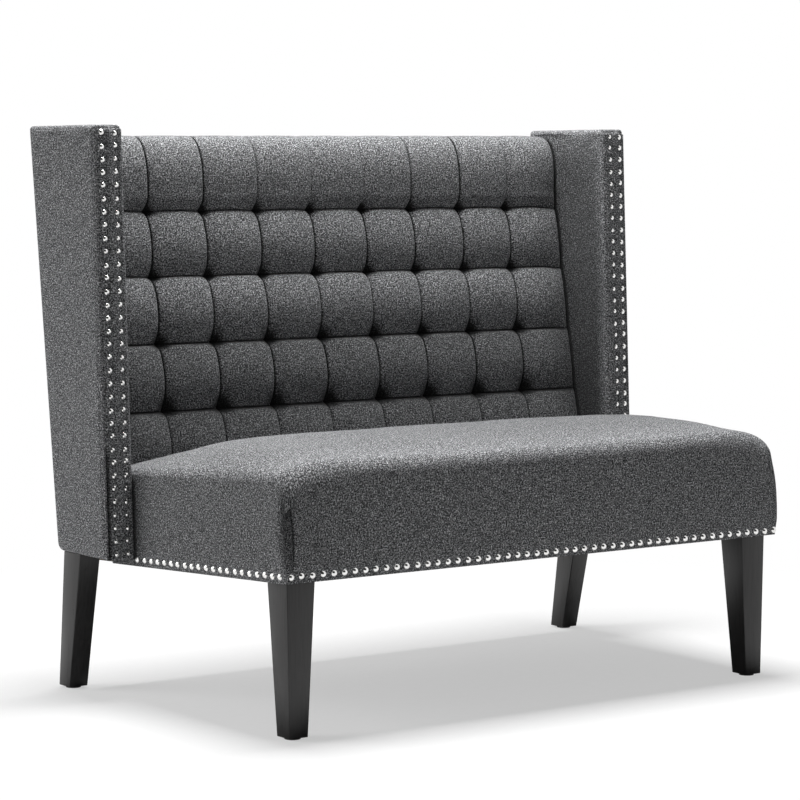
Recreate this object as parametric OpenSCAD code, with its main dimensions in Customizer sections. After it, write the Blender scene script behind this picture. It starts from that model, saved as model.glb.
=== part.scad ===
// Settee with flat side wings, a tufted leaning back, a crowned seat and four tapered legs.
// Millimetres. +X is to the right of someone facing the settee, +Y runs to its back, +Z is up.
// Depths are measured back from the seat's front face; the last step moves the whole settee
// so that the origin lies on the floor under the middle of its outline.

/* [Overall] */
// Width over both wings
overall_width = 1168.4; // [1000:0.1:1400]
// Height of the wing tops above the floor
overall_height = 965.2; // [850:0.1:1100]
// Depth from the seat front to the upper rear corner of the wings
overall_depth = 703.4; // [600:0.1:820]

/* [Seat] */
// Height of the seat's lower front edge above the floor
seat_clearance = 253.7; // [200:0.1:320]
// Backward lean of the whole seat box, in degrees
seat_tilt = 3.15; // [0:0.05:6]
// Height of the upholstered sides at the front, square to the seat's underside
seat_side_height = 167.3; // [120:0.1:220]
// How much lower the sides are at the back
side_fall = 9; // [0:0.5:20]
// Rise of the seat's crown over its sides
crown_rise = 53; // [20:0.5:80]
// Distance from the seat front to the top of the crown
crown_place = 254; // [150:1:350]
// Share of the crown that is lost at the front edge
front_loss = 0.66; // [0:0.01:0.8]
// Share of the crown that is lost as far behind its top
rear_loss = 0.45; // [0:0.01:0.8]
// Length of the upholstered seat, from its front to the gap before the back
cushion_length = 524; // [450:1:600]
// Depth of the rounded front edge in its middle
nose_depth = 33; // [20:1:100]
// Height of the rounded front edge in its middle
nose_height = 32; // [20:1:110]
// Depth of the rounded front edge at its ends
nose_end_depth = 40; // [20:1:100]
// Height of the rounded front edge at its ends
nose_end_height = 60; // [20:1:110]
// Radius of the seat's upper side edges
side_round = 10; // [6:0.5:40]
// Radius of the seat's upright front corners
corner_round = 10; // [4:0.5:30]
// Swell of the seat's front face
front_swell = 3; // [0:0.1:10]

/* [Wings] */
// Thickness of each wing, fabric included
wing_thickness = 55.2; // [40:0.1:80]
// Height of the wings' lower edge above the floor
wing_clearance = 241.2; // [200:0.1:320]
// Depth of the wings' front edge at its foot, from the seat front
wing_front_foot = 450.4; // [350:0.1:550]
// Depth of the wings' front edge at its top
wing_front_top = 489.6; // [350:0.1:600]
// Depth of the wings' rear edge at its foot
wing_rear_foot = 614.9; // [550:0.1:700]
// Radius of the wings' soft edges
wing_round = 8; // [4:0.5:14]

/* [Back] */
// Depth of the tufts' plane at the gauge height
tuft_depth = 567; // [500:1:640]
// Height above the floor at which that depth is taken
tuft_gauge = 450; // [400:1:500]
// Lean of the tufts' plane, run over rise
back_slope = 0.185; // [0:0.005:0.35]
// Distance between neighbouring tufts, both ways
tuft_pitch = 114.3; // [90:0.1:125]
// Number of tufts across
tuft_columns = 8; // [4:1:9]
// Number of rows of tufts
tuft_rows = 4; // [2:1:4]
// Height of the lowest row of tufts above the floor
tuft_first = 475; // [420:1:560]
// Swell of the pillows in front of the tufts
pillow_swell = 24; // [8:0.5:40]
// Height of the back's rolled top edge
back_top = 952; // [850:1:1050]
// Radius of the rolled top edge
roll_radius = 30; // [15:1:50]

/* [Legs] */
// Side of the square feet
foot_width = 35.8; // [25:0.1:60]
// Side of the front legs at their top
leg_top_width = 54.9; // [40:0.1:80]
// Distance of the front feet's outer face from the middle
front_foot_x = 510.8; // [400:0.1:560]
// Distance of the rear feet's outer face from the middle
rear_foot_x = 571; // [500:0.1:584]
// Depth of the rear feet's front face, from the seat front
rear_foot_y = 596; // [500:1:650]

/* [Nails] */
// Width of a nail head
nail_width = 11; // [6:0.1:16]
// Height of a nail head
nail_height = 2.8; // [1:0.1:6]
// Distance between nails along the seat's front
seat_nail_pitch = 20.8; // [14:0.1:40]
// Distance between nails along the seat's sides
side_nail_pitch = 21.3; // [14:0.1:40]
// Distance between nails along the wings
wing_nail_pitch = 22.1; // [14:0.1:40]

/* [Frame] */
// Thickness of the seat rails
rail_thickness = 25; // [18:1:40]
// Height of the seat rails
rail_height = 89; // [60:1:120]
// Number of sinuous springs
spring_count = 7; // [4:1:12]
// Thickness of the spring wire
spring_wire = 3.8; // [3:0.1:6]

/* [Hidden] */

fabric_colour = [0.27, 0.27, 0.28];
nail_colour = [0.80, 0.80, 0.82];
leg_colour = [0.07, 0.065, 0.065];
wood_colour = [0.72, 0.58, 0.40];
ply_colour = [0.78, 0.66, 0.48];
steel_colour = [0.55, 0.56, 0.58];
foam_colour = [0.90, 0.86, 0.70];
cloth_colour = [0.12, 0.12, 0.12];

half_width = overall_width / 2;
wing_inner = half_width - wing_thickness;
fabric = 2.4;          // seat fabric with its fleece
gap = 0.2;             // working clearance between pieces that touch
fit_gap = 0.6;         // clearance between the seat or the pad and the wings
half_seat = wing_inner - fit_gap;
frame_half = half_seat - fabric - 1;
box_length = overall_depth - 96.4;
rail_foot = 3;
rail_top = rail_foot + rail_height;
hem = 22;              // width of fabric turned under the rails
wing_slope = (wing_front_top - wing_front_foot) / (overall_height - wing_clearance);
rear_slope = (overall_depth - wing_rear_foot) / (overall_height - wing_clearance);
nail_tip = nail_width * 0.5;
nail_row = 11;         // height of the seat's nails over its lower edge
nail_lift = 0.3;       // clearance of a nail head over the fabric
$fn = 14;              // sides of a round piece

// Depths of the leaning planes at height z.
function wing_front(z) = wing_front_foot + wing_slope * (z - wing_clearance);
function rear_plane(z) = overall_depth - rear_slope * (overall_height - z);
function tuft_plane(z) = tuft_depth + back_slope * (z - tuft_gauge);

// Height at depth y of the plane that lies t above the seat's tilted underside.
function tilt_z(y, t) = seat_clearance + (t - y * sin(seat_tilt)) / cos(seat_tilt);

// The outline reaches from the seat's middle nail to the rounded upper rear corner of the wings.
module placed() {
  tip_foot = nail_row - nail_tip / 2 * sin(60);
  tip_reach = swell_at(nail_row, 0) + nail_lift + nail_height;
  front_reach = tip_reach * cos(seat_tilt) - tip_foot * sin(seat_tilt);
  rear_reach = max([for (p = soft_outline(0)) p[0]]);
  translate([0, (front_reach - rear_reach) / 2, 0]) children();
}
module tilted() {
  translate([0, 0, seat_clearance]) rotate([-seat_tilt, 0, 0]) children();
}
module prism_x(outline, x0, x1) {
  translate([x0, 0, 0]) rotate([90, 0, 90]) linear_extrude(x1 - x0) polygon(outline);
}
module prism_y(outline, y0, y1) {
  translate([0, y1, 0]) rotate([90, 0, 0]) linear_extrude(y1 - y0) polygon(outline);
}
module block(x0, x1, y0, y1, z0, z1) {
  translate([x0, y0, z0]) cube([x1 - x0, y1 - y0, z1 - z0]);
}
module side(right) {
  if (right) children();
  else mirror([1, 0, 0]) children();
}

// Triangles over a quad whose corners run clockwise as seen from outside.
function quad(a, b, c, d) = [[a, b, c], [a, c, d]];
function flat(lists) = [for (l = lists) for (v = l) v];
function back_to_front(faces) = [for (f = faces) [f[0], f[2], f[1]]];

// Seat shape, in the tilted box: x across, s back from the front, t up from the underside.
half_lines = [120, 240, 340, 410, 460, 495, 518, 525, half_seat];
seat_xs = concat([for (i = [8:-1:0]) -half_lines[i]], [0], half_lines);
seat_ss = [0, 2.5, 10, 20, 36, 90, 190, 290, 400, cushion_length];
columns = len(seat_xs) - 1;
lines = len(seat_ss) - 1;
edge_steps = 2 * lines + columns;

// The crown is square in plan at the front and rounder towards the back.
front_fullness = 9.9;
rear_fullness = 4.5;
fullness_place = 200;
function fullness(s) = front_fullness + (rear_fullness - front_fullness)
  * max(0, s - fullness_place) / (cushion_length - fullness_place);
function crown(x, s) = crown_rise * (1 - pow(abs(x) / half_seat, fullness(s)))
  * (1 - (s < crown_place ? front_loss : rear_loss) * pow((s - crown_place) / crown_place, 2));
function side_drop(x) = let (d = max(0, abs(x) - half_seat + side_round))
  side_round - sqrt(max(0, side_round * side_round - d * d));
function nose_drop(x, s) = let (end = pow(x / half_seat, 6),
    depth = nose_depth + (nose_end_depth - nose_depth) * end,
    height = nose_height + (nose_end_height - nose_height) * end,
    d = max(0, depth - s) / depth)
  height * (1 - sqrt(max(0, 1 - d * d)));
function side_height(s) = seat_side_height - side_fall * pow(s / cushion_length, 1.6);
function seat_top(x, s) = side_height(s) + crown(x, s) - norm([side_drop(x), nose_drop(x, s)]);

// Plan position with the front corners rounded, then drawn in by a margin.
function rounded(x, s) = let (cx = half_seat - corner_round, dx = abs(x) - cx, ds = corner_round - s)
  dx > 0 && ds > 0
    ? let (k = max(dx, ds) / norm([dx, ds])) [sign(x) * (cx + dx * k), corner_round - ds * k]
    : [x, s];
function drawn_in(p, m) = [p[0] * (half_seat - m) / half_seat,
  m + p[1] * (cushion_length - m) / cushion_length];

// The edge of the top, from the left rear corner round the front to the right rear corner.
function edge_i(k) = k <= lines ? 0 : min(k - lines, columns);
function edge_j(k) = k <= lines ? lines - k : max(0, k - lines - columns);

// A point of the top, drawn in by m, and by some slack more in plan, and kept over a lowest height.
function top_point(i, j, m, low, slack = 0) = let (p = drawn_in(rounded(seat_xs[i], seat_ss[j]), m + slack))
  [p[0], p[1], max(low, seat_top(seat_xs[i], seat_ss[j]) - m)];
function wall_point(k, row, m) =
  let (i = edge_i(k), j = edge_j(k), p = top_point(i, j, m, 0),
       level = 1 - row / 3, swell = front_swell * sin(180 * level),
       ahead = seat_ss[j] == 0 ? 1 - pow(seat_xs[i] / half_seat, 6) : 0)
  row == 4
    ? let (h = drawn_in(rounded(seat_xs[i], seat_ss[j]), hem)) [h[0], h[1], m]
    : [p[0], p[1] - swell * ahead, m + (p[2] - m) * level];

function top_points(m, low, slack = 0) = [for (j = [0:lines]) for (i = [0:columns])
  top_point(i, j, m, low, slack)];
function wall_points(m) = [for (k = [0:edge_steps]) for (row = [1:4]) wall_point(k, row, m)];
top_count = (columns + 1) * (lines + 1);
function top_id(i, j) = j * (columns + 1) + i;
function wall_id(k, row) = row == 0 ? top_id(edge_i(k), edge_j(k)) : top_count + 4 * k + row - 1;
top_faces = flat([for (j = [0:lines - 1]) for (i = [0:columns - 1])
  quad(top_id(i, j), top_id(i, j + 1), top_id(i + 1, j + 1), top_id(i + 1, j))]);
wall_faces = flat([for (k = [0:edge_steps - 1]) for (row = [0:3])
  quad(wall_id(k, row), wall_id(k + 1, row), wall_id(k + 1, row + 1), wall_id(k, row + 1))]);

module seat_cover() {
  skin = concat(top_faces, wall_faces);
  n = top_count + 4 * (edge_steps + 1);
  function rim(a, b) = quad(a, b, n + b, n + a);
  rims = flat(concat(
    [for (k = [0:edge_steps - 1]) rim(wall_id(k, 4), wall_id(k + 1, 4))],
    [for (i = [0:columns - 1]) rim(top_id(i + 1, lines), top_id(i, lines))],
    [for (row = [0:3]) rim(wall_id(0, row), wall_id(0, row + 1))],
    [for (row = [0:3]) rim(wall_id(edge_steps, row + 1), wall_id(edge_steps, row))]));
  inside = [for (f = back_to_front(skin)) [for (v = f) v + n]];
  color(fabric_colour) tilted()
    polyhedron(concat(top_points(0, 0), wall_points(0), top_points(fabric, 0), wall_points(fabric)),
      concat(skin, inside, rims));
}

foam_foot = rail_top + 7.4;
foam_slack = 4;
module seat_foam() {
  margin = fabric + 0.4;
  foot = [for (k = [0:edge_steps]) let (p = top_point(edge_i(k), edge_j(k), margin, 0, foam_slack))
    [p[0], p[1], foam_foot]];
  sides = flat([for (k = [0:edge_steps - 1])
    quad(wall_id(k, 0), wall_id(k + 1, 0), top_count + k + 1, top_count + k)]);
  first = top_count;
  last = top_count + edge_steps;
  middle = last + 1;
  under = [for (k = [0:edge_steps]) [first + k, first + (k + 1) % (edge_steps + 1), middle]];
  behind = concat([[first, last, top_id(columns, lines)]],
    [for (i = [columns:-1:1]) [first, top_id(i, lines), top_id(i - 1, lines)]]);
  points = concat(top_points(margin, foam_foot + 2, foam_slack), foot, [[0, cushion_length / 2, foam_foot]]);
  color(foam_colour) tilted() polyhedron(points, concat(top_faces, sides, under, behind));
}

// Nail heads are low six-sided domes that stand on a surface whose outward normal is -Y or +X.
module nail() {
  rotate([90, 0, 0]) cylinder(h = nail_height, d1 = nail_width, d2 = nail_tip, $fn = 6);
}
// Swell of the seat's front face at height t.
function swell_at(t, x) = front_swell * sin(180 * t / seat_top(x, 0)) * (1 - pow(x / half_seat, 6));
module seat_nails() {
  front_count = 2 * floor((half_seat - nail_width / 2) / seat_nail_pitch) + 1;
  side_count = floor((wing_front(wing_clearance) - 2 * nail_width) / side_nail_pitch) + 1;
  color(nail_colour) tilted() {
    for (i = [0:front_count - 1]) {
      x = (i - (front_count - 1) / 2) * seat_nail_pitch;
      translate([x, -swell_at(nail_row, x) - nail_lift, nail_row]) nail();
    }
    for (right = [false, true]) side(right) for (i = [0:side_count - 1])
      translate([half_seat + nail_lift, 1.6 * nail_width + i * side_nail_pitch, nail_row])
        rotate([0, 0, 90]) nail();
  }
}

// Seat frame: tenoned rails, glued corner blocks, sinuous springs under a deck cloth.
rail_front = 3.5;
tenon = [10, 18, 60];          // side rail tenons: thickness, length, height
centre_tenon = [12, 12, 46];
side_tenon_x = frame_half - rail_thickness / 2 - tenon[0] / 2;
// A mortise runs from the rail's inner face at the depth face, forward or backward by its tenon's reach.
module mortise(x, size, foot, face, direction) {
  end = face + direction * (size[1] + gap);
  block(x - gap, x + size[0] + gap, min(face, end), max(face, end), foot, foot + size[2] + 2 * gap);
}
module mortises(face, direction) {
  for (right = [false, true]) side(right) mortise(side_tenon_x, tenon, rail_foot + 14, face, direction);
  mortise(-centre_tenon[0] / 2, centre_tenon, rail_foot + 10, face, direction);
}
front_face = rail_front + rail_thickness;
back_face = box_length - rail_thickness;
rail_chamfer = 9;
module seat_front_rail() {
  color(wood_colour) tilted() difference() {
    translate([0, 0, rail_foot]) linear_extrude(rail_height) polygon([
      [-frame_half, front_face], [-frame_half, rail_front + rail_chamfer],
      [-frame_half + rail_chamfer, rail_front], [frame_half - rail_chamfer, rail_front],
      [frame_half, rail_front + rail_chamfer], [frame_half, front_face]]);
    mortises(front_face, -1);
  }
}
module seat_back_rail() {
  color(wood_colour) tilted() difference() {
    block(-frame_half, frame_half, back_face, box_length, rail_foot, rail_top);
    mortises(back_face, 1);
  }
}

wing_bolt_seat = [540, 70];    // place of the lower wing bolt in the tilted seat box: s, t
bolt_width = 8;
bore_width = 8.6;
module side_rail() {
  difference() {
    tilted() union() {
      block(frame_half - rail_thickness, frame_half, front_face + gap, back_face - gap, rail_foot, rail_top);
      block(side_tenon_x, side_tenon_x + tenon[0], front_face + gap - tenon[1], back_face - gap + tenon[1],
        rail_foot + 14 + gap, rail_foot + 14 + gap + tenon[2]);
    }
    wing_bolt_bores(bore_width, 400, half_width);
  }
}
module seat_side_rail_left() { color(wood_colour) side(false) side_rail(); }
module seat_side_rail_right() { color(wood_colour) side(true) side_rail(); }
module seat_centre_rail() {
  near = front_face + gap;
  far = back_face - gap;
  tenon_foot = rail_foot + 10 + gap;
  color(wood_colour) tilted() {
    block(-rail_thickness / 2, rail_thickness / 2, near, far, rail_foot, rail_foot + 66);
    block(-centre_tenon[0] / 2, centre_tenon[0] / 2, near - centre_tenon[1], far + centre_tenon[1],
      tenon_foot, tenon_foot + centre_tenon[2]);
  }
}

block_size = 70;
block_height = 42;
front_bolt = [front_foot_x - 23.8, 47];     // place of the front leg bolts: x, s
insert_width = 14;
insert_length = 20;
module corner_block(bored) {
  difference() {
    translate([0, 0, rail_foot]) linear_extrude(block_height) polygon([
      [frame_half - rail_thickness - gap, front_face + gap],
      [frame_half - rail_thickness - gap, front_face + block_size],
      [frame_half - rail_thickness - 16, front_face + block_size],
      [frame_half - rail_thickness - block_size, front_face + 16],
      [frame_half - rail_thickness - block_size, front_face + gap]]);
    if (bored) translate([front_bolt[0], front_bolt[1], 0]) {
      cylinder(h = rail_foot + insert_length + gap, d = insert_width + 2 * gap);
      cylinder(h = 60, d = bore_width);
    }
  }
}
module seat_corner_blocks() {
  color(wood_colour) tilted() for (right = [false, true]) side(right) {
    corner_block(true);
    translate([0, front_face + back_face, 0]) mirror([0, 1, 0]) corner_block(false);
  }
}

// One spring is a flat zigzag of wire: the outline runs up one side of the wire and down the other.
spring_bends = 10;
spring_reach = 23;
spring_start = 14;
spring_pitch = (frame_half - 80) * 2 / (spring_count - 1);
bend_length = (box_length - 2 * spring_start - 40) / spring_bends;
spring_line = concat([[0, spring_start], [0, spring_start + 18]],
  flat([for (i = [0:spring_bends - 1]) let (x = (i % 2 == 0 ? 1 : -1) * spring_reach,
      s = spring_start + 20 + bend_length * (i + 0.5))
    [[x, s - bend_length * 0.3], [x, s + bend_length * 0.3]]]),
  [[0, box_length - spring_start - 18], [0, box_length - spring_start]]);
function unit(v) = v / norm(v);
function left_of(v) = [-v[1], v[0]];
function mitre(line, i) = let (n = len(line) - 1,
    a = left_of(unit(line[max(i, 1)] - line[max(i, 1) - 1])),
    b = left_of(unit(line[min(i + 1, n)] - line[min(i + 1, n) - 1])))
  (a + b) / (1 + a * b);
module seat_springs() {
  n = len(spring_line) - 1;
  outline = concat([for (i = [0:n]) spring_line[i] + mitre(spring_line, i) * spring_wire / 2],
    [for (i = [n:-1:0]) spring_line[i] - mitre(spring_line, i) * spring_wire / 2]);
  color(steel_colour) tilted() at_springs()
    translate([0, 0, gap]) linear_extrude(spring_wire) polygon(outline);
}
module at_springs() {
  for (i = [0:spring_count - 1])
    translate([(i - (spring_count - 1) / 2) * spring_pitch, 0, rail_top]) children();
}

// A clip is bent sheet: it bridges the wire and has a foot on each side.
module spring_clips() {
  w = spring_wire / 2 + gap;
  h = spring_wire + 2 * gap;
  sheet = 1.2;
  foot = 6;
  clip_length = 12;
  half = [[w, h], [w, 0], [w + foot, 0], [w + foot, sheet], [w + sheet, sheet], [w + sheet, h + sheet]];
  outline = concat(half, [for (i = [len(half) - 1:-1:0]) [-half[i][0], half[i][1]]]);
  ends = [spring_start, box_length - spring_start - clip_length - 2];
  color(steel_colour) tilted() at_springs() for (s = ends) prism_y(outline, s, s + clip_length);
}
module deck_cloth() {
  half = frame_half - 42;
  color(cloth_colour) tilted() block(-half, half, 10, box_length - 32, foam_foot - 1.2, foam_foot - 0.4);
}
module dust_cover() {
  color(cloth_colour) tilted() difference() {
    block(-frame_half + 14, frame_half - 14, 14, box_length - 6, -0.9, -0.1);
    for (right = [false, true]) side(right)
      translate([front_bolt[0], front_bolt[1], -2]) cylinder(h = 4, d = bore_width);
  }
}

// Legs taper on their inner and rear faces; the rear pair also rakes backward.
leg_seat = -1.1;               // gap of a front leg's top under the seat box, square to it
glide_height = 3;
front_top_x = 515.8;
front_top_y = 17.7;
front_foot_y = 15.4;
rear_top_x = [537, 577];
rear_top_y = [549, 603.5];
rear_bolt = [(rear_top_x[0] + rear_top_x[1]) / 2, 576];
bolt_in_leg = 45;
module front_leg() {
  top = seat_clearance + 4;
  difference() {
    intersection() {
      prism_y([[front_foot_x - foot_width, glide_height], [front_foot_x, glide_height], [front_top_x, top],
        [front_top_x - leg_top_width, top]], -50, 150);
      prism_x([[front_foot_y, glide_height], [front_foot_y + foot_width, glide_height],
        [front_top_y + leg_top_width, tilt_z(front_top_y + leg_top_width, leg_seat)],
        [front_top_y, tilt_z(front_top_y, leg_seat)]], 400, 560);
    }
    tilted() translate([front_bolt[0], front_bolt[1], -bolt_in_leg - 2]) cylinder(h = 60, d = bore_width);
  }
}
module rear_leg() {
  top = wing_clearance - gap;
  difference() {
    intersection() {
      prism_y([[rear_foot_x - foot_width, glide_height], [rear_foot_x, glide_height], [rear_top_x[1], top],
        [rear_top_x[0], top]], 500, 700);
      prism_x([[rear_foot_y, glide_height], [rear_foot_y + foot_width, glide_height], [rear_top_y[1], top],
        [rear_top_y[0], top]], 500, 600);
    }
    translate([rear_bolt[0], rear_bolt[1], top - bolt_in_leg - 2]) cylinder(h = 60, d = bore_width);
  }
}
module leg_front_left() { color(leg_colour) side(false) front_leg(); }
module leg_front_right() { color(leg_colour) side(true) front_leg(); }
module leg_rear_left() { color(leg_colour) side(false) rear_leg(); }
module leg_rear_right() { color(leg_colour) side(true) rear_leg(); }
module leg_bolts() {
  bolt_length = bolt_in_leg + 36;
  color(steel_colour) for (right = [false, true]) side(right) {
    tilted() translate([front_bolt[0], front_bolt[1], -bolt_in_leg])
      cylinder(h = bolt_length, d = bolt_width);
    translate([rear_bolt[0], rear_bolt[1], wing_clearance - bolt_in_leg])
      cylinder(h = bolt_length, d = bolt_width);
  }
}
module insert() {
  difference() {
    cylinder(h = insert_length, d = insert_width);
    translate([0, 0, -1]) cylinder(h = insert_length + 2, d = bolt_width + gap);
  }
}
module leg_inserts() {
  color(steel_colour) for (right = [false, true]) side(right) {
    tilted() translate([front_bolt[0], front_bolt[1], rail_foot]) insert();
    translate([rear_bolt[0], rear_bolt[1], core_foot]) insert();
  }
}
module leg_glides() {
  half = foot_width / 2;
  color(cloth_colour) for (right = [false, true]) side(right)
    for (p = [[front_foot_x, front_foot_y], [rear_foot_x, rear_foot_y]])
      translate([p[0] - half, p[1] + half, 0]) cylinder(h = glide_height, d = 26);
}

// Back frame, panel and foam lie parallel to the tufts, at these depths behind them.
pad_back = 4;
foam_depths = [pad_back + gap, 16];
panel_depths = [16 + gap, 20];
frame_depth = 20 + gap;
frame_rear = 3.2;              // depth of the frame's rear face inside the rear plane
back_foot = 340;
frame_top = 930;
post_width = 38;
back_tenon = 18;
function leaning(z0, z1, near, far) = [[tuft_plane(z0) + near, z0], [tuft_plane(z0) + far, z0],
  [tuft_plane(z1) + far, z1], [tuft_plane(z1) + near, z1]];
function full_depth(z0, z1) = [[tuft_plane(z0) + frame_depth, z0], [rear_plane(z0) - frame_rear, z0],
  [rear_plane(z1) - frame_rear, z1], [tuft_plane(z1) + frame_depth, z1]];
top_rail_z = [880, frame_top];
middle_rail_z = [640, 690];
bottom_rail_z = [334, 384];
rail_depth = 25;
function rail_tenon(z, grow) = leaning(z[0] + 8 - grow, z[1] - 8 + grow,
  frame_depth + 6 - grow, frame_depth + 16 + grow);

// The posts stand on the side rails, so their feet are cut along the seat's tilt.
module back_post(right) {
  side(right) difference() {
    prism_x(full_depth(300, frame_top), frame_half - post_width, frame_half);
    tilted() block(400, half_width, 400, overall_depth, 0, rail_top + gap);
    for (z = [top_rail_z, middle_rail_z, bottom_rail_z])
      prism_x(rail_tenon(z, gap), frame_half - post_width - 1, frame_half - post_width + back_tenon + gap);
    wing_bolt_bores(bore_width, 400, half_width);
  }
}
module back_post_left() { color(wood_colour) back_post(false); }
module back_post_right() { color(wood_colour) back_post(true); }
module back_rail(z, outline) {
  reach = frame_half - post_width - gap;
  color(wood_colour) union() {
    prism_x(outline, -reach, reach);
    prism_x(rail_tenon(z, 0), -reach - back_tenon, reach + back_tenon);
  }
}
function shallow(z) = leaning(z[0], z[1], frame_depth, frame_depth + rail_depth);
module back_top_rail() { back_rail(top_rail_z, full_depth(top_rail_z[0], top_rail_z[1])); }
module back_middle_rail() { back_rail(middle_rail_z, shallow(middle_rail_z)); }
module back_bottom_rail() { back_rail(bottom_rail_z, shallow(bottom_rail_z)); }

// Tuft places, and a frame whose +Y points straight back out of the tufts' plane.
back_lean = atan(back_slope);
tuft_xs = [for (i = [0:tuft_columns - 1]) (i - (tuft_columns - 1) / 2) * tuft_pitch];
tuft_zs = [for (i = [0:tuft_rows - 1]) tuft_first + i * tuft_pitch];
module at_tufts() {
  for (x = tuft_xs) for (z = tuft_zs) translate([x, tuft_plane(z), z]) rotate([-back_lean, 0, 0]) children();
}
module sheet(depths, z0, z1) {
  difference() {
    prism_x(leaning(z0, z1, depths[0], depths[1]), -frame_half, frame_half);
    at_tufts() rotate([-90, 0, 0]) cylinder(h = 60, d = 6, $fn = 4);
  }
}
module tufting_panel() { color(ply_colour) sheet(panel_depths, back_foot, frame_top); }
module back_foam() { color(foam_colour) sheet(foam_depths, back_foot + 8, frame_top); }
module tuft_ties() {
  color(foam_colour) at_tufts() {
    block(-1, 1, (pad_back + gap) * cos(back_lean), 22, -1, 1);
    block(-12, 12, (panel_depths[1] + gap) * cos(back_lean), 24, -3, 3);
  }
}
module rear_cover() {
  inner = 2.6;
  outer = 0.6;
  foot = 224;
  top = back_top - 6;
  color(fabric_colour) prism_x([[rear_plane(foot) - inner, foot], [rear_plane(foot) - outer, foot],
    [rear_plane(top) - outer, top], [rear_plane(top) - inner, top]], -half_seat, half_seat);
}

// Tufted pad. Across, each cell has stations at its seam and at these shares of its width; up,
// each row has stations at the shares in row_shares, and the top row rolls over the frame.
cell_shares = [0, 0.15, 0.5, 0.85];
row_shares = [0, 0.15, 0.5, 0.85];
seam_across = 0.35;            // height of the upright seams between tufts, as a share of the swell
seam_along = 0.25;             // height of the level seams
edge_height = 0.5;             // height of the pad's side edges against the wings
pad_foot = 350;
cell_edges = concat([-half_seat], tuft_xs, [half_seat]);
pad_xs = concat([for (c = [0:tuft_columns]) let (cell = cell_edges[c + 1] - cell_edges[c])
  for (u = cell_shares) cell_edges[c] + u * cell], [half_seat]);
roll_centre_z = back_top - roll_radius;
roll_centre_y = tuft_plane(roll_centre_z) - pillow_swell + roll_radius;

function puff(u) = pow(sin(180 * u), 0.6);
function across(i) = let (n = len(cell_shares)) i == len(pad_xs) - 1 ? 0 : puff(cell_shares[i % n]);
function seam_height(i) = i == 0 || i == len(pad_xs) - 1 ? edge_height : seam_across;
function swell(pu, pv, seam) = pillow_swell
  * (pu * pv * (1 - seam - seam_along) + seam * pv + seam_along * pu);
foot_shares = [0, 0.3, 0.6, 0.85];
function pad_ring(i) = let (pu = across(i), seam = seam_height(i),
    sink = (1 - pu) * (pillow_swell * (1 - seam)))
  concat(
    [for (v = foot_shares) let (z = pad_foot + v * (tuft_first - pad_foot))
      [tuft_plane(z) - swell(pu, puff(0.12 + v * 0.88), seam), z]],
    [for (r = [0:tuft_rows - 2]) for (v = row_shares) let (z = tuft_zs[r] + v * tuft_pitch)
      [tuft_plane(z) - swell(pu, puff(v), seam), z]],
    [for (v = [0, 0.22, 0.6]) let (z = tuft_zs[tuft_rows - 1] + v * (roll_centre_z - tuft_zs[tuft_rows - 1]),
        pv = pow(sin(90 * min(1, v / 0.6)), 0.6))
      [tuft_plane(z) - swell(pu, pv, seam), z]],
    [for (a = [0, 30, 60, 90]) let (r = roll_radius - sink * (1 - 0.7 * a / 90))
      [roll_centre_y - r * cos(a), roll_centre_z + r * sin(a)]],
    [[rear_plane(frame_top) - 14, back_top - 2 - sink * 0.2], [rear_plane(frame_top) - 4, back_top - 10],
      [rear_plane(frame_top) - 4, frame_top + 1.2], [tuft_plane(frame_top + 1.2) + pad_back, frame_top + 1.2],
      [tuft_plane(pad_foot) + pad_back, pad_foot]]);
module back_pad() {
  rings = [for (i = [0:len(pad_xs) - 1]) pad_ring(i)];
  m = len(rings[0]);
  n = len(rings) - 1;
  points = [for (i = [0:n]) for (p = rings[i]) [pad_xs[i], p[0], p[1]]];
  skin = flat([for (i = [0:n - 1]) for (k = [0:m - 1])
    quad(i * m + k, i * m + (k + 1) % m, (i + 1) * m + (k + 1) % m, (i + 1) * m + k)]);
  left = back_to_front(pad_end(m));
  right = [for (f = pad_end(m)) [for (v = f) v + n * m]];
  color(fabric_colour) polyhedron(points, concat(skin, left, right));
}

// Triangles over one end of the pad: the bumps between the tuft rows, then the strip behind them.
function pad_end(m) = let (step = len(row_shares), top_row = tuft_rows * step,
    inner_top = m - 2, foot = m - 1)
  concat([for (v = [step:step:top_row]) for (k = [1:step - 1]) [v, v - step + k - 1, v - step + k]],
    [for (v = [step:step:top_row]) [v, foot, v - step]],
    [for (k = [top_row:m - 4]) [inner_top, k, k + 1]], [[inner_top, foot, top_row]]);

// Wing outline in the YZ plane, front foot first, with each corner's radius.
band_thickness = 1.6;
cover_sides = 3;               // cover thickness on the flat faces
cover_edges = 4;               // cover thickness round the edges
pad_edges = 8.2;               // depth of the core's edges inside the outline
core_foot = wing_clearance + cover_edges + 0.4;
wing_corners = [[wing_front(wing_clearance) + band_thickness + gap, wing_clearance],
  [wing_rear_foot, wing_clearance], [overall_depth, overall_height],
  [wing_front(overall_height) + band_thickness + gap, overall_height]];
wing_radii = [9, 16, 12, 10];

// The outline drawn in by d, as crossings of its shifted edges.
function edge_normal(i) = let (v = unit(wing_corners[(i + 1) % 4] - wing_corners[i])) [-v[1], v[0]];
function drawn_corner(i, d) = let (a = edge_normal((i + 3) % 4), b = edge_normal(i), c = wing_corners[i])
  c + (a + b) * d / (1 + a * b);
function inner_outline(d) = [for (i = [0:3]) drawn_corner(i, d)];

// The same outline with its two lower corners carried down or up their edges to the height foot.
function slid(p, slope, foot) = [p[0] + slope * (foot - p[1]), foot];
function footed_outline(d, foot) = let (c = inner_outline(d))
  [slid(c[0], wing_slope, foot), slid(c[1], rear_slope, foot), c[2], c[3]];

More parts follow.
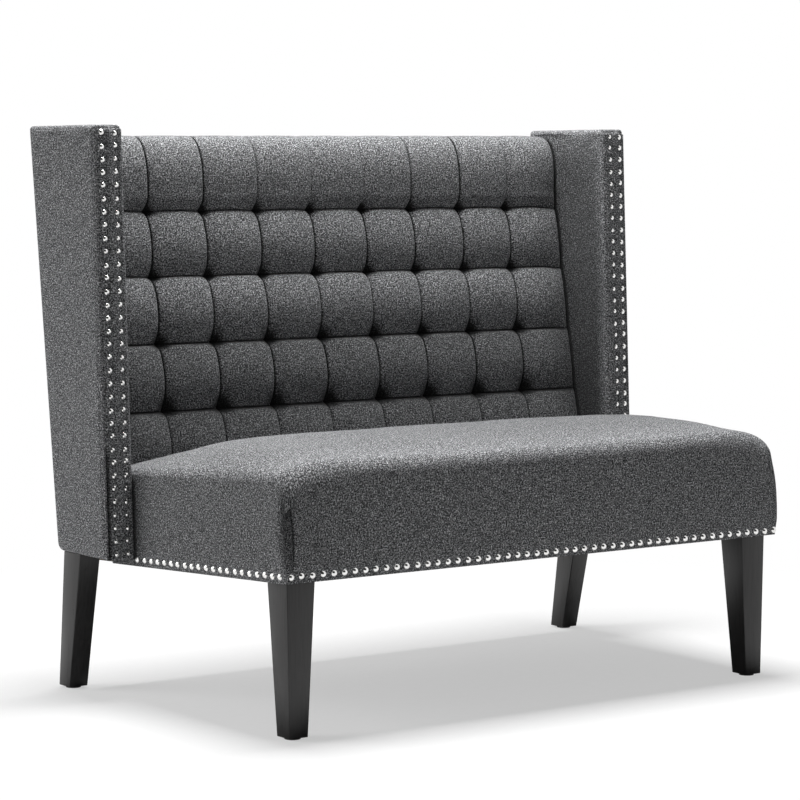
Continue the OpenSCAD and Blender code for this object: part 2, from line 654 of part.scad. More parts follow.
arc_steps = 3;
function soft_corner(i, d) = let (c = drawn_corner(i, wing_radii[i]), a = -edge_normal((i + 3) % 4),
    b = -edge_normal(i), from = atan2(a[1], a[0]), turn = acos(a * b))
  [for (k = [0:arc_steps]) let (w = from + turn * k / arc_steps) c + (wing_radii[i] - d) * [cos(w), sin(w)]];
function soft_outline(d) = flat([for (i = [0:3]) soft_corner(i, d)]);
module soft_slab() {
  function across_round(w) = wing_round * (1 - sin(w));
  function round_depth(w) = wing_round * (1 - cos(w));
  stations = concat([for (w = [90, 45, 0]) [wing_inner + across_round(w), round_depth(w)]],
    [for (w = [0, 45, 90]) [half_width - across_round(w), round_depth(w)]]);
  m = 4 * (arc_steps + 1);
  n = len(stations) - 1;
  points = [for (s = stations) for (p = soft_outline(s[1])) [s[0], p[0], p[1]]];
  skin = flat([for (i = [0:n - 1]) for (k = [0:m - 1])
    quad(i * m + k, (i + 1) * m + k, (i + 1) * m + (k + 1) % m, i * m + (k + 1) % m)]);
  inner = [for (k = [1:m - 2]) [0, k, k + 1]];
  outer = [for (f = back_to_front(inner)) [for (v = f) v + n * m]];
  polyhedron(points, concat(skin, inner, outer));
}

// Wing bolts: the lower one goes through the seat's side rail, the others through the post.
lower_bolt = [wing_bolt_seat[0] * cos(seat_tilt) + wing_bolt_seat[1] * sin(seat_tilt),
  seat_clearance - wing_bolt_seat[0] * sin(seat_tilt) + wing_bolt_seat[1] * cos(seat_tilt)];
wing_bolt_places = [[lower_bolt[0], lower_bolt[1], frame_half - rail_thickness],
  [615, 470, frame_half - post_width], [674.5, 860, frame_half - post_width]];
core_x = [wing_inner + pad_edges + 0.3, half_width - pad_edges - 0.3];
module along_x(x, place) { translate([x, place[0], place[1]]) rotate([0, 90, 0]) children(); }
module wing_bolt_bores(width, x0, x1) {
  for (p = wing_bolt_places) along_x(x0, p) cylinder(h = x1 - x0, d = width);
}

// The cover is open under the core, where its edges are turned in and the rear leg is bolted on.
module slot_opening() {
  middle = half_width - wing_thickness / 2;
  block(middle - 10, middle + 10, wing_front_foot + 24, wing_rear_foot - 24,
    wing_clearance - 1, wing_clearance + cover_edges + 1);
}
module wing_cover(right) {
  color(fabric_colour) side(right) difference() {
    soft_slab();
    prism_x(inner_outline(cover_edges), wing_inner + cover_sides, half_width - cover_sides);
    slot_opening();
    wing_bolt_bores(9, wing_inner - 1, wing_inner + 10);
  }
}
module wing_cover_left() { wing_cover(false); }
module wing_cover_right() { wing_cover(true); }
module wing_padding(right) {
  color(foam_colour) side(right) difference() {
    prism_x(inner_outline(cover_edges + gap), wing_inner + cover_sides + gap, half_width - cover_sides - gap);
    prism_x(footed_outline(pad_edges, wing_clearance), core_x[0] - gap, core_x[1] + gap);
    wing_bolt_bores(9, wing_inner - 1, wing_inner + 20);
  }
}
module wing_padding_left() { wing_padding(false); }
module wing_padding_right() { wing_padding(true); }
module window(y, z, w, h, r) {
  translate([0, y, z]) rotate([-5, 0, 0]) rotate([90, 0, 90]) linear_extrude(1200) {
    square([w - 2 * r, h], center = true);
    square([w, h - 2 * r], center = true);
    for (i = [-1, 1]) for (j = [-1, 1]) translate([i * (w / 2 - r), j * (h / 2 - r)]) circle(r = r);
  }
}
module wing_core(right) {
  color(ply_colour) side(right) difference() {
    prism_x(footed_outline(pad_edges + gap, core_foot), core_x[0], core_x[1]);
    window(545, 480, 76, 250, 18);
    window(587, 780, 90, 230, 18);
    wing_bolt_bores(bore_width, core_x[0] - 1, core_x[0] + 28);
    wing_bolt_bores(insert_width + 2 * gap, core_x[0] - 1, core_x[0] + insert_length + gap);
    translate([rear_bolt[0], rear_bolt[1], core_foot - 1]) {
      cylinder(h = insert_length + 1 + gap, d = insert_width + 2 * gap);
      cylinder(h = 40, d = bore_width);
    }
  }
}
module wing_core_left() { wing_core(false); }
module wing_core_right() { wing_core(true); }

// The band and its nails stand on the wing's leaning front edge.
nail_lines = [545, 570];
wing_nail_count = floor((overall_height - wing_clearance - 1.4 * nail_width) / wing_nail_pitch) + 1;
module on_front_edge() {
  translate([0, wing_front_foot, wing_clearance]) rotate([-atan(wing_slope), 0, 0]) children();
}
module wing_band(right) {
  edge_length = (overall_height - wing_clearance) / cos(atan(wing_slope));
  color(fabric_colour) side(right) on_front_edge()
    block(wing_inner + 2, half_width - 2, 0, band_thickness, 4, edge_length - 4);
}
module wing_band_left() { wing_band(false); }
module wing_band_right() { wing_band(true); }
module wing_nails(right) {
  color(nail_colour) side(right) on_front_edge() for (x = nail_lines) for (i = [0:wing_nail_count - 1])
    translate([x, -nail_lift, 9.5 + i * wing_nail_pitch]) nail();
}
module wing_nails_left() { wing_nails(false); }
module wing_nails_right() { wing_nails(true); }

washer_height = 1.6;
module wing_bolts() {
  head = [14.5, 5.5];
  color(steel_colour) for (right = [false, true]) side(right) for (p = wing_bolt_places) {
    along_x(p[2] - washer_height - gap - head[1], p) cylinder(h = head[1], d = head[0], $fn = 6);
    along_x(p[2] - washer_height - 1, p) cylinder(h = core_x[0] + 24 - p[2], d = bolt_width);
  }
}
module wing_washers() {
  color(steel_colour) for (right = [false, true]) side(right) for (p = wing_bolt_places)
    along_x(p[2] - washer_height - gap / 2, p) difference() {
      cylinder(h = washer_height, d = 20);
      translate([0, 0, -1]) cylinder(h = washer_height + 2, d = bore_width);
    }
}
module wing_inserts() {
  color(steel_colour) for (right = [false, true]) side(right)
    for (p = wing_bolt_places) along_x(core_x[0], p) insert();
}

placed() seat_front_rail();
placed() seat_back_rail();
placed() seat_side_rail_left();
placed() seat_side_rail_right();
placed() seat_centre_rail();
placed() seat_corner_blocks();
placed() seat_springs();
placed() spring_clips();
placed() deck_cloth();
placed() seat_foam();
placed() seat_cover();
placed() seat_nails();
placed() dust_cover();
placed() leg_front_left();
placed() leg_front_right();
placed() leg_rear_left();
placed() leg_rear_right();
placed() leg_bolts();
placed() leg_inserts();
placed() leg_glides();
placed() back_post_left();
placed() back_post_right();
placed() back_top_rail();
placed() back_middle_rail();
placed() back_bottom_rail();
placed() tufting_panel();
placed() back_foam();
placed() back_pad();
placed() tuft_ties();
placed() rear_cover();
placed() wing_core_left();
placed() wing_core_right();
placed() wing_padding_left();
placed() wing_padding_right();
placed() wing_cover_left();
placed() wing_cover_right();
placed() wing_band_left();
placed() wing_band_right();
placed() wing_nails_left();
placed() wing_nails_right();
placed() wing_bolts();
placed() wing_washers();
placed() wing_inserts();
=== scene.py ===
"""Settee with flat side wings, a tufted leaning back, a crowned seat and tapered legs."""

import math

import bmesh
import bpy
import numpy as np
from mathutils import Matrix, Vector


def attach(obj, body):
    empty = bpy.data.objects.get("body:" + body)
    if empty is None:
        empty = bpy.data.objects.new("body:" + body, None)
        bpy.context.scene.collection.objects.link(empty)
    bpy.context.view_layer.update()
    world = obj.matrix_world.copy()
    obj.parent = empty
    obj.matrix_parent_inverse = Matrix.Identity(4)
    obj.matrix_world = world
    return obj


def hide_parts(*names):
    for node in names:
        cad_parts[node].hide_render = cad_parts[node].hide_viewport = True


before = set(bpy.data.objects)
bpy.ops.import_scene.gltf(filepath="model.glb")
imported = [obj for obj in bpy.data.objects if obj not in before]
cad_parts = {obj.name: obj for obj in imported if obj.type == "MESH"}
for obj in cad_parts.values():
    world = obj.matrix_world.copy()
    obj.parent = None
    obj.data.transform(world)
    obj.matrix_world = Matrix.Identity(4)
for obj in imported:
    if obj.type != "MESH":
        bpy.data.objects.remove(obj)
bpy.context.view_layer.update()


# Timber frame. Planed softwood rails tenoned and glued into one another and into two leaning
# back posts, with corner blocks in the seat; the wings' cores and the panel behind the tufts
# are sanded plywood. All of it is inside the upholstery.
class Value:
    """A number, place, colour or mesh on its way through a tree of nodes. Sums with it add Math
    nodes."""

    def __init__(self, tree, socket=None):
        self.tree, self.socket = tree, socket

    def node(self, kind, settings, values, out=0):
        """Adds a node of that kind: its settings first, then its sockets' values or links."""
        made = self.tree.nodes.new(kind)
        for name, setting in settings.items():
            if name == "stops":
                ramp = made.color_ramp
                for extra in range(len(setting) - len(ramp.elements)):
                    ramp.elements.new(0.5)
                for stop, (place, colour) in zip(ramp.elements, setting):
                    stop.position, stop.color = place, (*colour, 1)
            else:
                setattr(made, name, setting)
        for name, value in values.items():
            if isinstance(value, Value):
                self.tree.links.new(value.socket, made.inputs[name])
            elif made.inputs[name].type == "RGBA" and len(value) == 3:
                made.inputs[name].default_value = (*value, 1)
            else:
                made.inputs[name].default_value = value
        return Value(self.tree, made.outputs[out] if len(made.outputs) else None)

    def sum(self, operation, first, second=0.0):
        """A sum of one or two numbers by that Math operation."""
        return self.node("ShaderNodeMath", {"operation": operation}, {0: first, 1: second})

    def __add__(self, other):
        return self.sum("ADD", self, other)

    __radd__ = __add__

    def __sub__(self, other):
        return self.sum("SUBTRACT", self, other)

    def __rsub__(self, other):
        return self.sum("SUBTRACT", other, self)

    def __mul__(self, other):
        return self.sum("MULTIPLY", self, other)

    __rmul__ = __mul__

    def __truediv__(self, other):
        return self.sum("DIVIDE", self, other)

    def __mod__(self, other):
        return self.sum("FLOORED_MODULO", self, other)

    def parts(self):
        """The three numbers of a place or colour."""
        split = self.node("ShaderNodeSeparateXYZ", {}, {0: self}).socket.node
        return [Value(self.tree, o) for o in split.outputs]

    def at(self, x, y, z):
        return self.node("ShaderNodeCombineXYZ", {}, {0: x, 1: y, 2: z})

    def noise(self, scale, detail=2.0, roughness=0.5):
        """Smooth uneven numbers round 0.5 at this place."""
        return self.node("ShaderNodeTexNoise", {},
                         {"Vector": self, "Scale": scale, "Detail": detail, "Roughness": roughness})

    def ramp(self, *stops):
        return self.node("ShaderNodeValToRGB", {"stops": stops}, {0: self})

    def dimmed(self, share):
        """This colour times a share."""
        return self.node("ShaderNodeVectorMath", {"operation": "SCALE"}, {0: self, "Scale": share})

    def relief(self, strength, distance):
        """The normal of a surface that stands up by this height."""
        return self.node("ShaderNodeBump", {},
                         {"Height": self, "Strength": strength, "Distance": distance})


def finish(name, look):
    """A material. look takes the empty start and gives the shader's values and links."""
    made = bpy.data.materials.new(name)
    made.use_nodes = True
    made.node_tree.nodes.clear()
    start = Value(made.node_tree)
    shader = start.node("ShaderNodeBsdfPrincipled", {}, look(start))
    start.node("ShaderNodeOutputMaterial", {}, {"Surface": shader})
    return made


def object_place(start):
    return start.node("ShaderNodeTexCoord", {}, {}, out="Object")


def placed(name, mesh):
    """The mesh, lamp or camera as an object of the scene."""
    made = bpy.data.objects.new(name, mesh)
    bpy.context.scene.collection.objects.link(made)
    return made


def dress(material, *nodes):
    """Gives solids of the frame their finish."""
    for name in nodes:
        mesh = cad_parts[name].data
        mesh.materials.clear()
        mesh.materials.append(material)


def softwood(along):
    """Planed pine whose grain runs along that axis: 0, 1 or 2."""
    def look(start):
        x, y, z = object_place(start).parts()
        axes = [x, y, z]
        axes[along] = axes[along] * 0.06
        stretched = start.at(*axes)
        warped = start.at(axes[0] + stretched.noise(14) * 0.03,
                          axes[1] + stretched.noise(9) * 0.03, axes[2])
        rings = warped.noise(70, 3.0)
        pores = stretched.noise(420, 1.0)
        return {"Base Color": (rings * 0.8 + pores * 0.2).ramp(
                    (0.36, (0.40, 0.25, 0.12)), (0.5, (0.57, 0.41, 0.24)), (0.64, (0.68, 0.53, 0.34))),
                "Roughness": pores * 0.2 + 0.5,
                "Normal": (rings + pores * 0.5).relief(0.25, 0.0006)}
    return look


dress(finish("softwood_rails", softwood(0)), "seat_front_rail", "seat_back_rail", "seat_corner_blocks",
      "back_top_rail", "back_middle_rail", "back_bottom_rail")
dress(finish("softwood_side_rails", softwood(1)), "seat_side_rail_left", "seat_side_rail_right",
      "seat_centre_rail")
dress(finish("softwood_posts", softwood(2)), "back_post_left", "back_post_right")


def plywood(start):
    x, y, z = object_place(start).parts()
    figure = start.at(x * 6, y * 6, z * 0.7).noise(14, 4.0)
    plies = start.sum("SINE", (x + y) * 4200.0) * 0.04
    return {"Base Color": (figure + plies).ramp(
                (0.34, (0.42, 0.28, 0.15)), (0.52, (0.60, 0.45, 0.28)), (0.68, (0.69, 0.56, 0.38))),
            "Roughness": figure * 0.25 + 0.45,
            "Normal": figure.relief(0.15, 0.0004)}


dress(finish("sanded_plywood", plywood), "wing_core_left", "wing_core_right", "tufting_panel")


# Springs and fasteners. Oiled zigzag spring wire held by bent clips on the rails; zinc-plated
# bolts, washers and threaded inserts that hold the legs and wings; waxed twine with toggles
# that pulls each tuft in from behind.
def metal(colour, roughness, marks):
    """Bare or plated metal. marks is how dark its clouds are."""
    def look(start):
        place = object_place(start)
        cloud, fine = place.noise(120, 3.0), place.noise(900, 1.0)
        return {"Base Color": cloud.ramp((0.3, [c * (1 - marks) for c in colour]), (0.7, colour)),
                "Metallic": 1.0,
                "Roughness": cloud * 0.25 + (roughness - 0.12),
                "Normal": fine.relief(0.1, 0.0002)}
    return look


dress(finish("oiled_spring_wire", metal((0.40, 0.40, 0.41), 0.38, 0.5)), "seat_springs")
dress(finish("zinc_plate", metal((0.60, 0.60, 0.62), 0.33, 0.25)), "spring_clips", "leg_bolts",
      "leg_inserts", "wing_bolts", "wing_washers", "wing_inserts")


def twine(start):
    x, y, z = object_place(start).parts()
    twist = start.sum("SINE", (x + y + z) * 1800.0)
    return {"Base Color": twist.ramp((0.0, (0.46, 0.40, 0.29)), (1.0, (0.74, 0.68, 0.54))),
            "Roughness": 0.8,
            "Normal": twist.relief(0.4, 0.0004)}


dress(finish("waxed_twine", twine), "tuft_ties")


def nylon(start):
    grain = object_place(start).noise(700, 2.0)
    return {"Base Color": grain.ramp((0.3, (0.02, 0.02, 0.02)), (0.7, (0.035, 0.035, 0.036))),
            "Roughness": grain * 0.2 + 0.45,
            "Normal": grain.relief(0.2, 0.0003)}


dress(finish("black_nylon", nylon), "leg_glides")


# Legs. Four square hardwood legs that taper on their inner and rear faces, the rear pair raked
# backward, sprayed with satin black lacquer, with eased edges. A bolt up the middle of each
# goes into an insert in the seat's corner block or in the wing's core.
ORIGIN_DEPTH = 349.24          # how far the origin lies behind the seat's front face, in millimetres
SEAT_LIFT = 253.7              # height of the seat box's lower front edge
SEAT_TILT = math.radians(3.15)
LEG_EASE = 0.0014              # radius of the legs' eased edges, in metres
GLIDE_HEIGHT, REAR_LEG_TOP = 3.0, 241.0
SIDES = ((-1, "left"), (1, "right"))


def metres(points):
    """Places given in millimetres, depth from the seat's front face, in the settee's frame."""
    moved = np.array(points, float)
    moved[..., 1] -= ORIGIN_DEPTH
    return moved / 1000


def tilted(x, s, t):
    """Places in the seat box, s back along it and t square to it, as millimetres."""
    cos, sin = math.cos(SEAT_TILT), math.sin(SEAT_TILT)
    return np.stack([x, s * cos + t * sin, SEAT_LIFT - s * sin + t * cos], -1)


def lacquer(start):
    place = object_place(start)
    x, y, z = place.parts()
    grain = start.at(x, y, z * 0.08).noise(260, 3.0)
    dust = place.noise(1500, 1.0)
    return {"Base Color": grain.ramp((0.35, (0.010, 0.0095, 0.0095)), (0.65, (0.018, 0.017, 0.017))),
            "Roughness": grain * 0.16 + dust * 0.06 + 0.2,
            "IOR": 1.43,
            "Coat Weight": 0.04,
            "Coat Roughness": 0.12,
            "Normal": (grain + dust * 0.3).relief(0.06, 0.0004)}


black_lacquer = finish("black_lacquer", lacquer)


def leg(name, node, feet, tops):
    """A tapered leg from its four foot corners and four top corners, in millimetres."""
    shape = bmesh.new()
    corners = [shape.verts.new(p) for p in metres(feet + tops)]
    for k in range(4):
        n = (k + 1) % 4
        shape.faces.new([corners[k], corners[n], corners[n + 4], corners[k + 4]])
    shape.faces.new(corners[3::-1])
    shape.faces.new(corners[4:])
    bmesh.ops.recalc_face_normals(shape, faces=shape.faces)
    bmesh.ops.bevel(shape, geom=shape.edges[:], offset=LEG_EASE, segments=3, profile=0.5,
                    affect="EDGES", clamp_overlap=True)
    mesh = bpy.data.meshes.new(name)
    shape.to_mesh(mesh)
    shape.free()
    mesh.shade_smooth()
    mesh.set_sharp_from_angle(angle=math.radians(40))
    mesh.materials.append(black_lacquer)
    made = placed(name, mesh)
    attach(made, "root")
    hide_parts(node)


def under_seat(y):
    """Height of a front leg's top at depth y, just under the tilted seat."""
    return SEAT_LIFT + (-1.1 - y * math.sin(SEAT_TILT)) / math.cos(SEAT_TILT)


def ring(side, x0, x1, y0, y1, z0, z1):
    """A leg's four corners at one end: x0 and x1 are its inner and outer sides, y0 and y1 its front
    and rear, z0 and z1 the heights there."""
    return [(side * x0, y0, z0), (side * x1, y0, z0), (side * x1, y1, z1), (side * x0, y1, z1)]


for side, word in SIDES:
    leg(f"{word}_front_leg", f"leg_front_{word}",
        ring(side, 475, 510.8, 15.4, 51.2, GLIDE_HEIGHT, GLIDE_HEIGHT),
        ring(side, 461.2, 515.7, 17.7, 72.6, under_seat(17.7), under_seat(72.6)))
    leg(f"{word}_rear_leg", f"leg_rear_{word}",
        ring(side, 535.2, 571, 596, 631.8, GLIDE_HEIGHT, GLIDE_HEIGHT),
        ring(side, 537, 577, 549, 603.5, REAR_LEG_TOP, REAR_LEG_TOP))


# Seat. A sprung frame with a foam block and fleece, covered in one piece of charcoal heather
# cloth: it falls over a rounded nose, is folded and sewn at the front corners, and is turned
# under the rails and stapled.
HALF_SEAT, SEAT_LENGTH = 528.4, 524.0    # half the width, and the length along its tilted foot
SIDE_HEIGHT, SIDE_FALL = 167.3, 9.0      # height of the sides at the front, and its loss to the rear
CROWN, CROWN_PLACE = 53.0, 254.0         # rise of the top over the sides, and where it is highest
FRONT_LOSS, FRONT_END_LOSS, REAR_LOSS = 0.77, 0.50, 0.45   # share of the crown lost at the edges
FRONT_FULLNESS, REAR_FULLNESS, FULLNESS_PLACE = 9.9, 4.5, 200.0   # how square the crown's ends are
NOSE_DEPTH, NOSE_HEIGHT, NOSE_END_DEPTH, NOSE_END_HEIGHT = 20.0, 21.0, 38.0, 57.0
SIDE_ROUND, REAR_ROUND, HEM = 10.0, 11.0, 22.0
CORNER_ROUND, FOOT_ROUND = 14.0, 6.0     # radius of the upright front corners, above and at the foot
FRONT_SWELL, SIDE_SWELL, CORNER_SWELL, SWELL_END = 3.0, 3.5, 8.0, 430.0
SEWN_CORNER = 12.0             # distance of the corner's sewn fold from the seat's end
WING_AT, NAILED_TO = 449.0, 455.0        # where the wings begin, and where the side's nails have ended
THREAD = 0.0010                # width of one thread of the cloth, in metres
CLOTH = 0.0016                 # thickness of the cloth


def heather(start):
    """Plain weave of slubby charcoal threads. The map named weave gives lengths in metres. The
    attribute read below darkens the cloth above 0 and pales it below: it is painted shade in the
    folds, creases and sheltered places, and painted light where it pales the cloth."""
    x, y, _ = start.node("ShaderNodeUVMap", {"uv_map": "weave"}, {}).parts()
    across, along = x / THREAD, y / THREAD
    warp, weft = start.sum("FLOOR", across), start.sum("FLOOR", along)
    over = (warp + weft) % 2
    warp_tone = start.at(warp * 0.7, along * 0.25, 1.0).noise(1.0, 1.0, 0.6)
    weft_tone = start.at(weft * 0.7, across * 0.25, 9.0).noise(1.0, 1.0, 0.6)
    warp_slub = start.at(warp * 0.9, along * 0.06, 4.0).noise(1.0, 0.0)
    weft_slub = start.at(weft * 0.9, across * 0.06, 6.0).noise(1.0, 0.0)
    warp_tone = warp_tone * 0.7 + warp_slub * 0.3
    weft_tone = weft_tone * 0.7 + weft_slub * 0.3
    tone = weft_tone + over * (warp_tone - weft_tone)
    u, v = across - warp - 0.5, along - weft - 0.5
    round_u, round_v = 1 - u * u * 4, 1 - v * v * 4
    high = over * round_u * (0.45 + round_v * 0.55) + (1 - over) * round_v * (0.45 + round_u * 0.55)
    fuzz = start.at(across, along, 0.0).noise(3.1, 1.0)
    drift = start.at(x, y, 0.0).noise(26.0, 2.0)
    mottle = start.at(x, y, 0.5).noise(430.0, 0.0)
    fold = start.node("ShaderNodeAttribute", {"attribute_name": "fold"}, {}, out="Fac")
    # The crowns of the threads are painted a little lighter than the gaps: painted highlight and shade of
    # the weave.
    lit = tone * 0.83 + mottle * 0.33 + fuzz * 0.06 + high * 0.05 - 0.142
    colour = lit.ramp((0.38, (0.012, 0.012, 0.0125)), (0.46, (0.045, 0.046, 0.048)),
                      (0.52, (0.120, 0.122, 0.126)), (0.58, (0.270, 0.273, 0.280)),
                      (0.66, (0.600, 0.605, 0.615)))
    return {"Base Color": colour.dimmed((1 - fold * 0.92) * (0.88 + drift * 0.24)),
            "Roughness": 0.92,
            "Specular IOR Level": 0.15,
            "Sheen Weight": 0.1,
            "Sheen Roughness": 0.45,
            "Sheen Tint": (0.85, 0.86, 0.88, 1.0),
            "Normal": (high + fuzz * 0.4 + tone * 0.5).relief(0.2, 0.0004)}


heather_cloth = finish("charcoal_heather_cloth", heather)


def ripple(points, size, seed):
    """Smooth uneven heights of about -1 to 1 at these places, with waves about size long."""
    chance = np.random.default_rng(seed)
    total = np.zeros(points.shape[:-1])
    for _ in range(8):
        way = chance.normal(size=3)
        way *= 2 * math.pi * chance.uniform(0.6, 1.6) / size / np.linalg.norm(way)
        total += np.sin(points @ way + chance.uniform(0, 2 * math.pi))
    return total / 3


def lengths(grid, axis):
    """How far each line of a grid lies along the cloth, in metres."""
    steps = np.linalg.norm(np.diff(grid, axis=axis), axis=2).mean(1 - axis)
    return np.concatenate([[0], np.cumsum(steps)]) / 1000


def upholstery(name, patches):
    """One mesh from grids of places in millimetres, rows by columns, with each place's painted shade
    or light. Seen from outside, columns run to the left where rows run up."""
    places, faces, maps, painted_shadings = [], [], [], []
    for grid, fold in patches:
        rows, columns = grid.shape[:2]
        first = len(places)
        places.extend(metres(grid).reshape(-1, 3))
        u, v = np.meshgrid(lengths(grid, 1), lengths(grid, 0))
        maps.extend(np.stack([u, v], -1).reshape(-1, 2) + 1.0)
        painted_shadings.extend(np.broadcast_to(fold, (rows, columns)).ravel())
        ids = first + np.arange(rows * columns).reshape(rows, columns)
        faces.extend(np.stack([ids[:-1, :-1], ids[1:, :-1], ids[1:, 1:], ids[:-1, 1:]], -1)
                     .reshape(-1, 4).tolist())
    mesh = bpy.data.meshes.new(name)
    mesh.from_pydata(places, [], faces)
    corner_places = np.zeros(len(mesh.loops), int)
    mesh.loops.foreach_get("vertex_index", corner_places)
    mesh.uv_layers.new(name="weave").uv.foreach_set(
        "vector", np.array(maps)[corner_places].astype(np.float32).ravel())
    mesh.attributes.new("fold", "FLOAT", "POINT").data.foreach_set("value", np.array(painted_shadings, np.float32))
    shape = bmesh.new()
    shape.from_mesh(mesh)
    bmesh.ops.remove_doubles(shape, verts=shape.verts, dist=2e-5)
    bmesh.ops.dissolve_degenerate(shape, edges=shape.edges, dist=1e-6)
    shape.to_mesh(mesh)
    shape.free()
    mesh.shade_smooth()
    mesh.materials.append(heather_cloth)
    return placed(name, mesh)


def lined(piece, thickness):
    """Gives an open cover the thickness of its cloth, inward."""
    wall = piece.modifiers.new("cloth", "SOLIDIFY")
    wall.thickness, wall.offset, wall.use_even_offset = thickness, -1, False


def unit(values):
    """These numbers kept between 0 and 1."""
    return np.clip(values, 0, 1)


def bell(distance, width):
    """1 at no distance, falling off smoothly over that width."""
    return np.exp(-(distance / width) ** 2)


def seat_top(x, s):
    """Height of the seat's top over the seat box's foot."""
    end = np.abs(x / HALF_SEAT)
    fullness = FRONT_FULLNESS + (REAR_FULLNESS - FRONT_FULLNESS) \
        * np.clip(s - FULLNESS_PLACE, 0, None) / (SEAT_LENGTH - FULLNESS_PLACE)
    loss = np.where(s < CROWN_PLACE, FRONT_LOSS + (FRONT_END_LOSS - FRONT_LOSS) * end ** 4, REAR_LOSS)
    crown = CROWN * (1 - end ** fullness) * (1 - loss * ((s - CROWN_PLACE) / CROWN_PLACE) ** 2)
    nose_depth = NOSE_DEPTH + (NOSE_END_DEPTH - NOSE_DEPTH) * end ** 6
    nose_height = NOSE_HEIGHT + (NOSE_END_HEIGHT - NOSE_HEIGHT) * end ** 6
    past_side = np.clip(np.abs(x) - HALF_SEAT + SIDE_ROUND, 0, SIDE_ROUND)
    past_nose = unit((nose_depth - s) / nose_depth)
    drop = np.hypot(SIDE_ROUND - np.sqrt(SIDE_ROUND ** 2 - past_side ** 2),
                    nose_height * (1 - np.sqrt(1 - past_nose ** 2)))
    return SIDE_HEIGHT - SIDE_FALL * (s / SEAT_LENGTH) ** 1.6 + crown - drop


def eased(reach, steps):
    """Distances from an edge that lie close together where a quarter round begins."""
    return reach * (1 - np.cos(np.linspace(0, math.pi / 2, steps + 1)))


# The grid's lines lie close together at the rounded edges and at the corner's fold.
near_side = np.concatenate([eased(SIDE_ROUND, 9), [10.9, 11.5, 12, 12.5, 13.1, 14, 15.5, 17.5, 20]])
half_xs = np.concatenate([HALF_SEAT - near_side, np.arange(HALF_SEAT - 24, 0, -5.2)])
xs = np.concatenate([-half_xs, [0], half_xs[::-1]])
ss = np.concatenate([eased(NOSE_END_DEPTH, 18),
                     np.arange(NOSE_END_DEPTH + 6, SEAT_LENGTH - REAR_ROUND, 6.4),
                     SEAT_LENGTH - eased(REAR_ROUND, 5)[::-1]])
X, S = np.meshgrid(xs, ss)
T = seat_top(X, S)
past_rear = np.clip(S - SEAT_LENGTH + REAR_ROUND, 0, REAR_ROUND)
T = T - (REAR_ROUND - np.sqrt(REAR_ROUND ** 2 - past_rear ** 2)) * 1.6

# The sewn corner fold runs a little way up over the nose.
from_fold = HALF_SEAT - np.abs(X) - SEWN_CORNER - 0.25 * S
fold_reach = unit(1 - S / 16)
T = T - fold_reach * (1.3 * bell(from_fold, 1.2) + 1.2 * bell(from_fold, 6))
# Along that fold the top has painted shade.
top_fold = fold_reach * bell(from_fold, 1.4)


def rounded_plan(x, s, radius):
    """Plan places with the square front corners rounded, and which way is outward there."""
    past_x, past_s = np.abs(x) - (HALF_SEAT - radius), radius - s
    turning = (past_x > 0) & (past_s > 0)
    reach = np.maximum(np.hypot(past_x, past_s), 1e-9)
    shrink = np.where(turning, np.maximum(past_x, past_s) / reach, 1)
    round_x = np.where(turning, np.sign(x) * (HALF_SEAT - radius + past_x * shrink), x)
    round_s = np.where(turning, radius - past_s * shrink, s)
    out_x = np.where(turning, np.sign(x) * past_x / reach, np.where(past_s >= radius - 1e-6, 0, np.sign(x)))
    out_s = np.where(turning, -past_s / reach, np.where(past_s >= radius - 1e-6, -1, 0))
    return round_x, round_s, out_x, out_s


plan_x, plan_s, _, _ = rounded_plan(X, S, CORNER_ROUND)
top_grid = tilted(plan_x, plan_s, T)
flat_share = unit((S - 20) / 60) * unit((HALF_SEAT - np.abs(X)) / 60)
top_grid[..., 2] += (ripple(top_grid, 170, 4) * 0.9 * flat_share
                     + ripple(top_grid, 60, 5) * 0.25 * flat_share)

# The top has painted light toward its front and painted shade toward the back, most on the right.
rear_shade = 0.19 * unit(S / 160) * np.clip((X + 500) / 600, 0.2, 1)
painted_top_light_and_shade = (0.40 * np.exp(-S / 60) - rear_shade) * unit(S / 16) \
    * unit((HALF_SEAT - np.abs(X) - 3) / 25)

# The walls hang from the edge of the top: down the left side, along the front, up the right side.
edge = ([(j, 0) for j in range(len(ss) - 1, 0, -1)] + [(0, i) for i in range(len(xs))]
        + [(j, len(xs) - 1) for j in range(1, len(ss))])
edge_j, edge_i = np.array(edge).T
raw_x, raw_s, rim_t = xs[edge_i], ss[edge_j], T[edge_j, edge_i]
on_front = edge_j == 0
rim_x, rim_s, out_x, out_s = rounded_plan(raw_x, raw_s, CORNER_ROUND)
foot_x, foot_s, _, _ = rounded_plan(raw_x, raw_s, FOOT_ROUND)
low_rows = np.array([0, 1.2, 3, 5, 7, 9, 11, 13, 15, 17, 19.5, 22.5, 26, 30.0])
high_rows = np.linspace(0, 1, 15)[1:]
wall_t = np.concatenate([np.repeat(low_rows[:, None], len(edge), 1),
                         30 + (rim_t - 30) * high_rows[:, None]])
level = unit(wall_t / rim_t)

# Seat nails sit in small dents of the walls, with the cloth puffed a little above them. Their row
# runs down a little toward the right end.
NAIL_ROW, NAIL_ROW_FALL = 11.0, 2.7
FRONT_NAILS, FRONT_PITCH = 51, 20.8
SIDE_NAILS, SIDE_PITCH, SIDE_START = 21, 21.3, 17.6
chance = np.random.default_rng(14)
front_nails = (np.arange(FRONT_NAILS) - FRONT_NAILS // 2) * FRONT_PITCH
front_nails += chance.uniform(-0.9, 0.9, FRONT_NAILS)
side_nails = SIDE_START + SIDE_PITCH * np.arange(SIDE_NAILS) + chance.uniform(-0.9, 0.9, SIDE_NAILS)


def nearest(places, marks):
    """Distance from each place to the nearest mark."""
    return np.min(np.abs(places[..., None] - marks), -1)


def nail_height(x):
    """Height of the nail row above the walls' lower edge."""
    return NAIL_ROW - NAIL_ROW_FALL * (x / HALF_SEAT + 1) / 2


